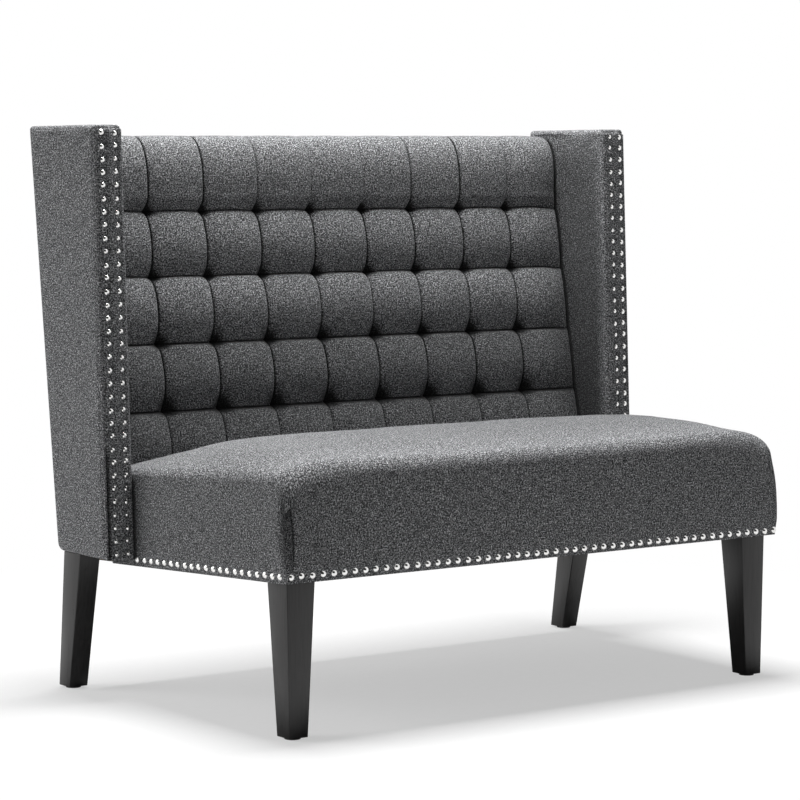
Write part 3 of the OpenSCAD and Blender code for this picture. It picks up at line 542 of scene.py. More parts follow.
def wall_swell(x, s, front, level):
    """How far the padded walls stand out at a share of their height."""
    end = np.abs(x / HALF_SEAT) ** 6
    by_corner = CORNER_SWELL + (SIDE_SWELL - CORNER_SWELL) * (1 - np.exp(-np.maximum(s, 0) / 30))
    swell = np.where(front, FRONT_SWELL * (1 - end) + CORNER_SWELL * end,
                     by_corner * unit((SWELL_END - s) / 120))
    return swell * np.sin(math.pi * level)


nail_at = np.where(on_front, nearest(raw_x, front_nails), nearest(raw_s, side_nails))
nailed = on_front | (raw_s < NAILED_TO)
dent = 1.3 * nailed * np.exp(-(nail_at ** 2 + (wall_t - nail_height(raw_x)) ** 2) / 42)
puff = 0.7 * nailed * bell(wall_t - 26, 9) * (1 - np.exp(-nail_at ** 2 / 30))

# The corner's sewn fold is a sharp crease in a soft hollow, and much fainter at the right corner.
from_sewn = np.where(on_front, HALF_SEAT - np.abs(raw_x) - SEWN_CORNER, 99)
sewn_share = unit((wall_t - 15) / 20) * np.where(raw_x > 0, 0.3, 1)
crease = bell(from_sewn, 1.2) * sewn_share
proud = puff - dent - 1.3 * crease - 2.0 * bell(from_sewn, 6) * sewn_share
proud += wall_swell(raw_x, raw_s, on_front, level)
widening = np.sin(math.pi / 2 * unit(level * 1.3))
wall_x = foot_x + (rim_x - foot_x) * widening + out_x * proud
wall_s = foot_s + (rim_s - foot_s) * widening + out_s * proud
walls = tilted(wall_x, wall_s, wall_t)
waves = ripple(walls, 140, 8) * 0.7 * np.sin(math.pi * level)
walls[..., 1] -= waves * (out_s < -0.5)
walls[..., 0] += waves * out_x * (raw_s < SWELL_END) * (~on_front)
hem_x = foot_x * (HALF_SEAT - HEM) / HALF_SEAT
hem_s = HEM + foot_s * (SEAT_LENGTH - HEM) / SEAT_LENGTH
hem = np.stack([tilted(hem_x, hem_s, np.full(len(edge), 0.2)),
                tilted((foot_x + hem_x) / 2, (foot_s + hem_s) / 2, np.full(len(edge), 0.1))])

# Painted shade: the cloth is painted darker in that crease and round it, close to the wing, at the
# front's left end and on the sides.
shaded = np.where(on_front, bell(np.maximum(from_sewn, 0), 3), bell(raw_s, 11))
beside_wing = np.where(on_front, 0, bell(np.maximum(WING_AT - raw_s, 0), 6)) \
    * unit((wall_t - 10) / 4)
painted_end_shade = np.where(on_front, 0.14 * unit((-raw_x - 300) / 200),
                     0.14 + 0.05 * unit(raw_s / 40))
wall_painted_shade = np.clip(0.4 * crease + 0.42 * shaded * sewn_share + beside_wing + painted_end_shade, 0, 0.95)

seat = upholstery("seat_upholstery", [
    (top_grid[::-1], (top_fold * 0.75 - painted_top_light_and_shade)[::-1]),
    (np.concatenate([hem, walls])[::-1], np.concatenate([np.zeros((2, len(edge))), wall_painted_shade])[::-1])])
lined(seat, CLOTH)
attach(seat, "root")
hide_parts("seat_cover", "seat_foam")


# Seat nails. Bright nickel-plated steel nails with low domed heads, driven by hand through
# the cloth into the rails in one row along the front and the sides.
NAIL_WIDTH, NAIL_HEIGHT = 0.0112, 0.0031


def nickel(start):
    place = object_place(start)
    haze = place.noise(160, 2.0)
    return {"Base Color": haze.ramp((0.3, (0.74, 0.735, 0.72)), (0.7, (0.86, 0.86, 0.85))),
            "Metallic": 1.0,
            "Roughness": haze * 0.12 + 0.09,
            "Normal": haze.relief(0.05, 0.0003)}


bright_nickel = finish("bright_nickel", nickel)


def nail_rule():
    """Geometry nodes that set a domed head on each point, square to its outward direction."""
    tree = bpy.data.node_groups.new("nail_heads", "GeometryNodeTree")
    tree.interface.new_socket("Geometry", in_out="INPUT", socket_type="NodeSocketGeometry")
    for name, kind, value in (("Head width", "Float", NAIL_WIDTH), ("Head height", "Float", NAIL_HEIGHT),
                              ("Wander", "Float", 0.0003), ("Lean", "Float", 0.09), ("Seed", "Int", 7)):
        socket = tree.interface.new_socket(name, in_out="INPUT", socket_type="NodeSocket" + kind)
        socket.default_value = value
    tree.interface.new_socket("Finish", in_out="INPUT", socket_type="NodeSocketMaterial")
    tree.interface.new_socket("Geometry", in_out="OUTPUT", socket_type="NodeSocketGeometry")
    start = Value(tree)
    given = start.node("NodeGroupInput", {}, {}).socket.node.outputs
    points, width, height, wander, lean, seed, metal_finish = [Value(tree, o) for o in given[:7]]

    # A head is a cone whose places are moved onto a ball.
    radius = width / 2.0
    ball = (radius * radius + height * height) / (height * 2.0)
    cone = start.node("GeometryNodeMeshCone", {"fill_type": "NGON"},
                      {"Vertices": 14, "Side Segments": 5, "Radius Top": 0.0, "Radius Bottom": radius,
                       "Depth": height}, out="Mesh")
    x, y, _ = start.node("GeometryNodeInputPosition", {}, {}).parts()
    cap = start.sum("SQRT", ball * ball - (x * x + y * y)) - (ball - height)
    domed = start.node("GeometryNodeSetPosition", {}, {"Geometry": cone, "Position": start.at(x, y, cap)})
    spots = start.node("GeometryNodeMeshToPoints", {}, {"Mesh": points})

    def uneven(reach, number):
        """A different small vector for each nail, each of its numbers within reach of 0."""
        least = reach * -1.0
        return start.node("FunctionNodeRandomValue", {"data_type": "FLOAT_VECTOR"},
                          {0: start.at(least, least, least), 1: start.at(reach, reach, reach),
                           "Seed": seed + number})

    outward = start.node("GeometryNodeInputNamedAttribute", {"data_type": "FLOAT_VECTOR"},
                         {"Name": "outward"})
    leaning = start.node("ShaderNodeVectorMath", {"operation": "ADD"}, {0: outward, 1: uneven(lean, 1.0)})
    turned = start.node("FunctionNodeAlignRotationToVector", {"axis": "Z"}, {"Vector": leaning})
    moved = start.node("GeometryNodeSetPosition", {}, {"Geometry": spots, "Offset": uneven(wander, 2.0)})
    heads = start.node("GeometryNodeInstanceOnPoints", {},
                       {"Points": moved, "Instance": domed, "Rotation": turned})
    real = start.node("GeometryNodeRealizeInstances", {}, {"Geometry": heads})
    shown = start.node("GeometryNodeSetMaterial", {}, {"Geometry": real, "Material": metal_finish})
    start.node("NodeGroupOutput", {}, {"Geometry": shown})
    return tree


nail_heads = nail_rule()


def nails(name, places, outward, seed, *nodes):
    """A row of nail heads as one piece. places are in metres, outward their unit directions."""
    mesh = bpy.data.meshes.new(name)
    mesh.from_pydata(places, [], [])
    mesh.attributes.new("outward", "FLOAT_VECTOR", "POINT").data.foreach_set(
        "vector", np.array(outward, np.float32).ravel())
    made = placed(name, mesh)
    rule = made.modifiers.new("heads", "NODES")
    rule.node_group = nail_heads
    ids = {item.name: item.identifier for item in nail_heads.interface.items_tree if item.in_out == "INPUT"}
    rule[ids["Head width"]], rule[ids["Head height"]] = NAIL_WIDTH, NAIL_HEIGHT
    rule[ids["Seed"]], rule[ids["Finish"]] = seed, bright_nickel
    grown = bpy.data.meshes.new_from_object(made.evaluated_get(bpy.context.evaluated_depsgraph_get()))
    made.modifiers.clear()
    made.data = grown
    grown.name = name
    grown.shade_smooth()
    grown.set_sharp_from_angle(angle=math.radians(70))
    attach(made, "root")
    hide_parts(*nodes)


NAIL_SINK = 0.5                # how far a head sinks into the cloth, in millimetres
front_level, side_level = NAIL_ROW / seat_top(front_nails, 0.0), NAIL_ROW / seat_top(HALF_SEAT, side_nails)
front_out = wall_swell(front_nails, 0.0, True, front_level) - NAIL_SINK
side_out = wall_swell(HALF_SEAT, side_nails, False, side_level) - NAIL_SINK
row = [tilted(front_nails, -front_out, nail_height(front_nails))]
ways = [np.tile(tilted(0.0, -1.0, 0.0) - tilted(0.0, 0.0, 0.0), (FRONT_NAILS, 1))]
for side in (-1, 1):
    row.append(tilted(side * (HALF_SEAT + side_out), side_nails,
                      np.full(SIDE_NAILS, nail_height(side * HALF_SEAT))))
    ways.append(np.tile([side, 0, 0], (SIDE_NAILS, 1)))
nails("seat_nail_heads", metres(np.concatenate(row)), np.concatenate(ways), 11, "seat_nails")


# Cloths of the seat. A woven deck cloth lies over the springs, under the foam, and a black
# non-woven dust cover is stapled under the rails from side to side.
def nonwoven(start):
    place = object_place(start)
    fibres = place.noise(1400, 3.0, 0.7)
    x, y, _ = place.parts()
    pressed = start.node("ShaderNodeTexVoronoi", {}, {"Vector": start.at(x, y, 0.0), "Scale": 420.0},
                         out="Distance")
    return {"Base Color": fibres.ramp((0.3, (0.012, 0.012, 0.012)), (0.75, (0.05, 0.05, 0.052))),
            "Roughness": 0.9,
            "Specular IOR Level": 0.2,
            "Normal": (pressed + fibres * 0.4).relief(0.5, 0.0003)}


black_nonwoven = finish("black_nonwoven_cloth", nonwoven)
THIN_CLOTH = 0.0005            # thickness of the deck cloth and the dust cover, in metres


def stretched_cloth(name, node, half_width, near, far, height, sag, seed):
    """A cloth pulled flat across the seat frame. It sags a little inside its stapled edges."""
    x, s = np.meshgrid(np.linspace(-half_width, half_width, 121), np.linspace(near, far, 71))
    inside = unit((half_width - np.abs(x)) / 60) * unit((s - near) / 60) \
        * unit((far - s) / 60)
    flat = tilted(x, s, np.full(x.shape, height))
    pull = ripple(flat, 90, seed) * 0.25
    flat[..., 2] += (sag + ripple(flat, 260, seed + 1) * abs(sag) * 0.3) * inside * inside + pull * inside
    made = upholstery(name, [(flat, 0.0)])
    made.data.materials.clear()
    made.data.materials.append(black_nonwoven)
    lined(made, THIN_CLOTH)
    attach(made, "root")
    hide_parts(node)


stretched_cloth("seat_deck_cloth", "deck_cloth", 483.0, 10, 575, 98.6, 0.4, 21)
stretched_cloth("seat_dust_cover", "dust_cover", 511.0, 14, 601, -0.4, -1.2, 23)


# Tufted back. Foam and wadding on a ply panel under the same cloth, pulled in on a square grid
# of blind tufts: the spare cloth is folded into pleats between the tufts, and the top row of
# pillows rolls over the frame to its rear face.
TUFT_PITCH = 114.3
TUFT_X = (np.arange(8) - 3.5) * TUFT_PITCH + [0, 0, 1, 3, 5, 1, 1, 0]   # a few stand off the pitch
TUFT_Z = 475 + TUFT_PITCH * np.arange(4)
PAD_FOOT, PAD_TOP, PAD_BACK = 350.0, 952.0, 4.0
FRAME_TOP = 930.0
PLANE_DEPTH, PLANE_LEAN, PLANE_LEVEL = 567, 0.185, 450    # depth of the tufts at a level, and their lean
REAR_DEPTH, REAR_LEAN, REAR_LEVEL = 703.4, 0.12224, 965.2    # the same of the settee's rear face
ROLL_RISE, ROLL_DEPTH = 100.0, 54.0    # height and depth of the rolled top edge
WADDING = 6.0                  # thickness of the wadding even at the tufts
SWELL = 25.0                   # how far a pillow stands in front of that
PLEAT_SHARE, SEAM_SHARE = 0.60, 0.42   # height of the pleats and the level seams, of the swell
PLEAT_DEEP, SEAM_DEEP = 5.0, 5.0       # depth of the folds at the pleats and seams
TUFT_DEEP = 12.0               # depth of the pocket at a tuft
WALL_AHEAD, WALL_ROUND = 14.0, 13.0    # where the pad meets a wing, and its rounded edge there
PILLOW_PEAK = 0.58             # share of a pillow's height at which it stands out most
PLEATS = np.array([            # how sharp each pleat is, row by row from the lowest
    [0.3, 0.3, 0.3, 0.3, 0.3, 0.3, 0.3, 0.3],
    [1.0, 0.6, 0.9, 0.9, 0.6, 0.6, 0.7, 0.8],
    [1.0, 0.7, 0.7, 0.6, 0.5, 0.6, 0.7, 0.8],
    [1.0, 1.0, 1.0, 1.0, 1.0, 1.0, 1.0, 1.0],
    [1.0, 1.0, 0.6, 0.5, 0.5, 0.9, 1.0, 0.7]])
PLEATS_ON_ROLL = np.array([1.0, 1.0, 0.6, 0.15, 0.15, 0.7, 1.0, 0.4])
SEAM_RISE = np.array([1.5, 3.0, 5.5, 6.5])   # how far the seams arch up between two tufts


def tuft_plane(z):
    return PLANE_DEPTH + PLANE_LEAN * (z - PLANE_LEVEL)


def rear_plane(z):
    return REAR_DEPTH - REAR_LEAN * (REAR_LEVEL - z)


def cell_steps(width):
    """Distances across one pillow, close together beside the pleats."""
    half = np.array([0, 0.6, 1.2, 2.0, 3.0, 4.4, 6.2, 8.6, 11.8, 15.8, 20.6, 26.2, 32.6, 39.8, 48])
    half = half * width / TUFT_PITCH
    return np.concatenate([half, [width / 2], (width - half)[:0:-1]])


def cell_lines(edges):
    """The grid's lines over a row of pillows: their places, pillow numbers and shares of the pillow."""
    places, cells, shares = [], [], []
    for k, (first, last) in enumerate(zip(edges[:-1], edges[1:])):
        steps = cell_steps(last - first)
        places.extend(first + steps)
        cells.extend([k] * len(steps))
        shares.extend(steps / (last - first))
    return places, cells, shares


pad_x, pad_cell, pad_u = cell_lines(np.concatenate([[-HALF_SEAT], TUFT_X, [HALF_SEAT]]))
pad_x, pad_cell, pad_u = np.array(pad_x + [HALF_SEAT]), np.array(pad_cell + [8]), np.array(pad_u + [1.0])
pad_z, pad_row, pad_v = cell_lines(np.concatenate([[PAD_FOOT], TUFT_Z]))
roll_z = PAD_TOP - ROLL_RISE
TOP_HEIGHT = roll_z - TUFT_Z[3]
top_steps = cell_steps(2 * TOP_HEIGHT)[:16]
pad_z.extend(TUFT_Z[3] + top_steps)
pad_row.extend([4] * len(top_steps))
pad_v.extend(top_steps / TOP_HEIGHT)
pad_z, pad_row, pad_v = np.array(pad_z), np.array(pad_row), np.array(pad_v)

U, V = np.meshgrid(pad_u, pad_v)
PX, PZ = np.meshgrid(pad_x, pad_z)
CELL, ROW = np.meshgrid(pad_cell, pad_row)
from_wall = HALF_SEAT - np.abs(PX)
near_pleat = np.argmin(np.abs(PX[..., None] - TUFT_X), -1)
off_pleat = PX - TUFT_X[near_pleat]
to_pleat = np.abs(off_pleat)
near_seam = np.argmin(np.abs(PZ[..., None] - TUFT_Z), -1)
off_seam = PZ - TUFT_Z[near_seam]
to_seam = np.abs(off_seam)
past_top = unit((PZ - TUFT_Z[3]) / TOP_HEIGHT)

# Each pillow rolls over steeply into its pleats. In the cells beside the wings only the side
# by the pleat does.
across = np.sin(math.pi * unit(U))
arch_u = np.where(U < 0.5, across ** 0.5, across ** 0.4)
arch_u = np.where((CELL == 0) & (U < 0.5), 1, np.where((CELL == 8) & (U > 0.5), 1, arch_u))
rising = np.sin(math.pi / 2 * unit(V / PILLOW_PEAK)) ** 0.9
falling = np.cos(math.pi / 2 * unit((V - PILLOW_PEAK) / (1 - PILLOW_PEAK))) ** 0.5
top_rise = np.sin(math.pi / 2 * past_top) ** 0.9
arch_v = np.where(ROW == 4, top_rise, np.where(V < PILLOW_PEAK, rising, falling))
chance = np.random.default_rng(31)
fullness = chance.uniform(-0.05, 0.05, (5, 9))[ROW, CELL] * (1 - past_top)
crest_share = 1 - 0.5 * past_top ** 1.5
spread_u = 1 - (1 - arch_u) * crest_share
pillow = SWELL * (1 + fullness * arch_u * arch_v) * (
    spread_u * arch_v * (1 - PLEAT_SHARE - SEAM_SHARE) + PLEAT_SHARE * arch_v + SEAM_SHARE * spread_u)

pleat_sharp = PLEATS[ROW, near_pleat] \
    * (1 - (1 - PLEATS_ON_ROLL[near_pleat]) * unit(past_top * 1.6))
pleat_fold = np.exp(-(to_pleat / 1.9) ** 1.5) * pleat_sharp
seam_fold = np.exp(-(to_seam / 2.0) ** 1.5) * np.clip(from_wall / 60, 0.25, 1)
pillow -= PLEAT_DEEP * pleat_fold * arch_v + SEAM_DEEP * seam_fold * arch_u



def at_tufts(shift, wide, up, down):
    """1 at each tuft, or that shift to its right, falling off over those reaches aside, up and down."""
    return np.exp(-((off_pleat - shift) / wide) ** 2 - (off_seam / np.where(off_seam > 0, up, down)) ** 2)


# The pockets at the tufts reach further up than down, and are widest in the lowest row.
low_share = (3 - near_seam) / 3
pocket = at_tufts(2, 8 + 5 * low_share, 12 + 9 * low_share, 7.0)
to_tuft = np.hypot(to_pleat, to_seam)
pillow -= TUFT_DEEP * pocket * (0.75 + 0.25 * bell(to_tuft, 3))

# Short strained wrinkles run out from each tuft.
way_round = np.arctan2(off_seam, off_pleat)
turn = (near_pleat * 2.37 + near_seam * 1.73) % 6.28
pillow += (np.cos(way_round * 7 + turn) + 0.6 * np.cos(way_round * 12 + turn * 2)) \
    * 0.65 * np.exp(-to_tuft / 22) * unit(to_tuft / 9) * unit(from_wall / 40)
ahead_of_plane = WADDING + pillow
wall_share = 0.25 + 0.75 * np.sin(math.pi / 2 * unit(from_wall / 75))
ahead_of_plane = WALL_AHEAD + (ahead_of_plane - WALL_AHEAD) * wall_share
wall_curve = WALL_ROUND - np.sqrt(WALL_ROUND ** 2 - np.clip(WALL_ROUND - from_wall, 0, WALL_ROUND) ** 2)
ahead_of_plane -= wall_curve
front_face = np.stack([PX, tuft_plane(PZ) - ahead_of_plane, PZ], -1)
front_face[..., 1] -= ripple(front_face, 75, 33) * 0.5 * arch_u * arch_v * (1 - past_top)
# A pillow laps over the pleat on its right, pushes its upper seam up and hangs over the lower.
lap = 1.8 * (1 - np.exp(-to_pleat / 1.5)) * np.exp(-to_pleat / 9) * arch_v * pleat_sharp * (off_pleat < 0)
front_face[..., 0] += lap
rise = SEAM_RISE[near_seam] * arch_u * np.exp(-to_seam / 25) * unit(from_wall / 60)
hang = 2.5 * arch_u * bell(V - 0.09, 0.09) * (ROW > 0)
front_face[..., 2] += rise * (1 - past_top) - hang

# The roll and the flap behind it, ring by ring.
ROLL_STEPS, ROLL_POWER = 24, 0.89
ROLL_LEAN = 6.0                # how much higher the roll stands at its right end
taller = ROLL_LEAN * (pad_x / HALF_SEAT + 1) / 2
roll_y = tuft_plane(roll_z) - WADDING - SWELL + ROLL_DEPTH
last = front_face[-1]
sink = WADDING + SWELL - ahead_of_plane[-1]


def pad_ring(y, z):
    """A line of the pad from wing to wing at that depth and height."""
    return np.stack(np.broadcast_arrays(last[:, 0], y, z), -1)


rings = []
for angle in np.radians(np.linspace(2.5, 90, ROLL_STEPS)):
    share = angle / (math.pi / 2)
    drawn = sink * (1 - 0.75 * share)
    rings.append(pad_ring(roll_y - (ROLL_DEPTH - drawn) * max(np.cos(angle), 0) ** ROLL_POWER,
                          roll_z + (ROLL_RISE + taller - drawn) * np.sin(angle) ** ROLL_POWER
                          + (last[:, 2] - roll_z) * (1 - share)))
for inset, z, dip in ((21, PAD_TOP - 0.5, 0.22), (15, PAD_TOP - 1.6, 0.2), (9, PAD_TOP - 4, 0.15),
                      (5.2, PAD_TOP - 8, 0.1), (4, PAD_TOP - 14, 0.0), (4, FRAME_TOP + 1.2, 0.0)):
    rings.append(pad_ring(rear_plane(FRAME_TOP) - inset,
                          z - sink * dip + taller * unit((z - FRAME_TOP - 1.2) / 20)))
for z in (FRAME_TOP + 1.2, *np.linspace(FRAME_TOP - 20, PAD_FOOT, 12)):
    rings.append(pad_ring(tuft_plane(z) + PAD_BACK, z))
rings.append(front_face[0])
around = np.concatenate([front_face, np.stack(rings)])

# Painted shade: the pleats, seams and pockets are painted dark, and so is the cloth close to the
# wings. In the two lowest rows each pillow has painted shade that grows toward its top.
pleat_line = pleat_sharp * np.where(off_pleat > 0, np.exp(-(to_pleat / 2.9) ** 6),
                                    bell(to_pleat, 1.6))
in_pocket = at_tufts(3, 8 + 8 * low_share, 13 + 8 * low_share, 5.5) * unit(from_wall / 25)
by_wall = bell(from_wall, 3.5)
seam_line = bell(to_seam, 2.6)
painted_shelter_shade = unit((600 - PZ) / 20) * (0.14 + 0.6 * np.clip(V - 0.3, 0, 0.7)) \
    + 0.06 * unit((500 - PZ) / 30) + 0.22 * unit(1 - from_wall / 90) ** 1.5
lines = np.maximum(pleat_line * unit(arch_v * 1.5), seam_line * arch_u)
back_painted_shade = np.zeros(around.shape[:2])
back_painted_shade[:len(pad_z)] = unit(lines + in_pocket * 1.8 + by_wall + painted_shelter_shade)
back_painted_shade[len(pad_z):len(pad_z) + ROLL_STEPS + 4] = unit(pleat_line[-1] + by_wall[-1] + painted_shelter_shade[-1])

back = upholstery("back_upholstery", [(around[:, ::-1], back_painted_shade[:, ::-1])])
# The skin is a tube from wing to wing. A flat cap closes each end of it.
shape = bmesh.new()
shape.from_mesh(back.data)
caps = bmesh.ops.holes_fill(shape, edges=[e for e in shape.edges if e.is_boundary], sides=0)["faces"]
for cap in bmesh.ops.triangulate(shape, faces=caps)["faces"]:
    cap.smooth = False
bmesh.ops.recalc_face_normals(shape, faces=shape.faces)
shape.to_mesh(back.data)
shape.free()
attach(back, "root")
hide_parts("back_pad", "back_foam")


# Outside back. One flat panel of the same cloth between the wings, its edges folded under and
# stapled to the posts, its top fixed over the rolled edge's flap and its foot under the rail.
REAR_FOOT, REAR_TOP = 224.0, 946.0


def rounded(distance, reach):
    """Share of its radius by which a quarter round falls away at a distance from the edge."""
    return 1 - np.sqrt(1 - unit(1 - distance / reach) ** 2)


panel_side = [519, 523, 526, 527.6, 528.2]
panel_x = np.concatenate([np.negative(panel_side[::-1]), np.linspace(-512, 512, 131), panel_side])
panel_z = np.concatenate([[REAR_FOOT, 224.6, 226, 229], np.linspace(234, 936, 91),
                          [941, 944, 945.4, REAR_TOP]])
x, z = np.meshgrid(panel_x, panel_z)
from_edge = np.minimum(HALF_SEAT - np.abs(x), np.minimum(z - REAR_FOOT, REAR_TOP - z))
panel = np.stack([x, rear_plane(z) - 0.5 - 2.2 * rounded(from_edge, 4), z], -1)
panel[..., 1] -= np.clip(0.9 + ripple(panel, 240, 41) * 0.9, 0, 3) * unit(from_edge / 90)
at_fold = bell(from_edge - 9, 2.2)    # the line where the edge is folded under
panel[..., 1] -= 0.5 * at_fold
# Along that fold line the cloth has painted shade.
outside_back = upholstery("outside_back_panel", [(panel, at_fold * 0.15)])
lined(outside_back, CLOTH)
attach(outside_back, "root")
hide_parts("rear_cover")


# Wings. Each is a ply core wrapped in thin wadding and the same cloth, with soft edges all
# round; a folded welt runs up its outer front edge, and a separate band of cloth covers the
# front edge, where it is nailed in two rows.
HALF_WIDTH, WING_INNER = 584.2, 529.0
WING_FOOT, WING_TOP = 241.2, 965.2
WING_FRONT, WING_LEAN = 450.4, 0.05414   # depth of the front edge's foot, and how it leans back
FACE_WIDTH, FACE_HEIGHT = 200, 724       # about how wide and high a wing is
WING_ROUND = 8.0               # radius of the soft edges between a wing's faces and its rim
BAND = 1.8                     # room for the band in front of the wing


def wing_front(z):
    return WING_FRONT + WING_LEAN * (z - WING_FOOT)


wing_corners = np.array([[wing_front(WING_FOOT) + BAND, WING_FOOT], [614.9, WING_FOOT],
                         [709.0, WING_TOP + 2.2], [wing_front(WING_TOP) + BAND, WING_TOP + 5.2]])
wing_radii = [9, 16, 6, 5]     # of the corners, seen from the side
HALF_ARC = 5                   # steps in half a corner
# The line of the tufted back beside the right wing, up to the top of the roll.
back_edge = around[:len(pad_z) + ROLL_STEPS, np.argmin(np.abs(pad_x - HALF_SEAT + 3))]


def wing_outline(drawn_in):
    """The wing's four edges as lists of places, each from the middle of one corner to the next."""
    edges = np.roll(wing_corners, -1, 0) - wing_corners
    edges /= np.linalg.norm(edges, axis=1)[:, None]
    inward = np.stack([-edges[:, 1], edges[:, 0]], -1)
    arcs = []
    for k in range(4):
        before, after = inward[k - 1], inward[k]
        radius = max(wing_radii[k], drawn_in + 0.3)
        centre = wing_corners[k] + (before + after) * radius / (1 + before @ after)
        start = math.atan2(-before[1], -before[0])
        turn = math.acos(before @ after)
        angles = start + np.linspace(0, turn, 2 * HALF_ARC + 1)
        arcs.append(centre + (radius - drawn_in) * np.stack([np.cos(angles), np.sin(angles)], -1))
    made = []
    for k, spans in enumerate((90, 120, 90, 120)):
        here, there = arcs[k], arcs[(k + 1) % 4]
        straight = here[-1] + (there[0] - here[-1]) * np.linspace(0, 1, spans + 1)[:, None]
        made.append(np.concatenate([here[HALF_ARC:-1], straight, there[1:HALF_ARC + 1]]))
    return made


def wing_face(side, x, drawn_in, swell, seed):
    """One flat face of a wing, filled in between its four edges and slightly crowned."""
    foot, rear, top, front = wing_outline(drawn_in)
    top, front = top[::-1], front[::-1]
    a, b = np.linspace(0, 1, len(foot)), np.linspace(0, 1, len(rear))
    a, b = a[None, :, None], b[:, None, None]
    flat = ((1 - b) * foot[None] + b * top[None] + (1 - a) * front[:, None] + a * rear[:, None]
            - (1 - a) * (1 - b) * foot[0] - a * (1 - b) * foot[-1]
            - (1 - a) * b * top[0] - a * b * top[-1])
    from_rim = np.minimum(np.minimum(a, 1 - a) * FACE_WIDTH, np.minimum(b, 1 - b) * FACE_HEIGHT)[..., 0]
    grid = np.concatenate([np.full(flat.shape[:2] + (1,), side * x), flat], -1)
    level = unit(from_rim / 26)
    crowned = swell * level * (2 - level) + ripple(grid, 150, seed) * 0.5 * level
    grid[..., 0] += crowned * side * (1 if x > WING_INNER else -1)
    return grid


for side, word in SIDES:
    stations = [(WING_INNER + WING_ROUND * (1 - math.sin(w)), WING_ROUND * (1 - math.cos(w)))
                for w in np.linspace(math.pi / 2, 0, 8)]
    middle = np.linspace(WING_INNER + WING_ROUND, HALF_WIDTH - WING_ROUND, 9)[1:-1]
    stations += [(x, 0.0) for x in middle]
    stations += [(HALF_WIDTH - x + WING_INNER, d) for x, d in stations[7::-1]]
    sleeve = []
    for x, drawn_in in stations:
        outline = wing_outline(drawn_in)
        loop = np.concatenate([e[:-1] for e in outline] + [outline[0][:1]])
        sleeve.append(np.concatenate([np.full((len(loop), 1), side * x), loop], -1))
    sleeve = np.stack(sleeve)
    inner = wing_face(side, WING_INNER, WING_ROUND, 0.15, 51)
    outer = wing_face(side, HALF_WIDTH, WING_ROUND, 0.8, 52)

    # Painted shade darkens the inner face where the back meets it, and all over behind its front edge and
    # below its top, more low down than near the top.
    y, z = inner[..., 1], inner[..., 2]
    beside_back = np.interp(z, back_edge[:, 2], back_edge[:, 1])
    gap = unit((y - beside_back + 5) / 3) * (z > 420) * (z < PAD_TOP)
    painted_shelter_shade = (0.52 + 0.33 * unit((760 - z) / 300)) * unit((WING_TOP - z) / 60) \
        * unit((y - wing_front(z)) / 30)
    shade = unit(gap + painted_shelter_shade)
    if side > 0:
        patches = [(sleeve[:, ::-1], 0.0), (inner, shade), (outer[:, ::-1], 0.0)]
    else:
        patches = [(sleeve, 0.0), (inner[:, ::-1], shade[:, ::-1]), (outer, 0.0)]
    wing = upholstery(f"{word}_wing_upholstery", patches)
    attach(wing, "root")
    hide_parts(f"wing_cover_{word}", f"wing_padding_{word}")


# Wing bands, welts and nails. The band is a strip of cloth over thin wadding, drawn down by
# two rows of the same domed nails, 33 in each; the welt beside it is cord in bias-cut cloth.
WING_NAILS, WING_NAIL_PITCH, WING_NAIL_START = 33, 22.1, 9.5
NAIL_ROWS = {-1: ((541.5, 544.1), (564.0, 568.8)),    # each row's distance from the middle, foot to top,
             1: ((554.5, 547.3), (570.3, 571.5))}     # on the left and the right wing
BAND_FROM, BAND_TO = WING_INNER + 0.6, HALF_WIDTH - 5.4
BAND_CLOTH = 0.0012            # thickness of the band's cloth, in metres
WELT_RADIUS = 2.3
BESIDE_SEAT = 185              # how far up a wing the seat stands beside its band


def on_front_edge(x, forward, up):
    """Places by how far forward of the wing's leaning front edge and how far up it they lie."""
    lean = math.atan(WING_LEAN)
    cos, sin = math.cos(lean), math.sin(lean)
    return np.stack([x, WING_FRONT - forward * cos + up * sin, WING_FOOT + forward * sin + up * cos], -1)


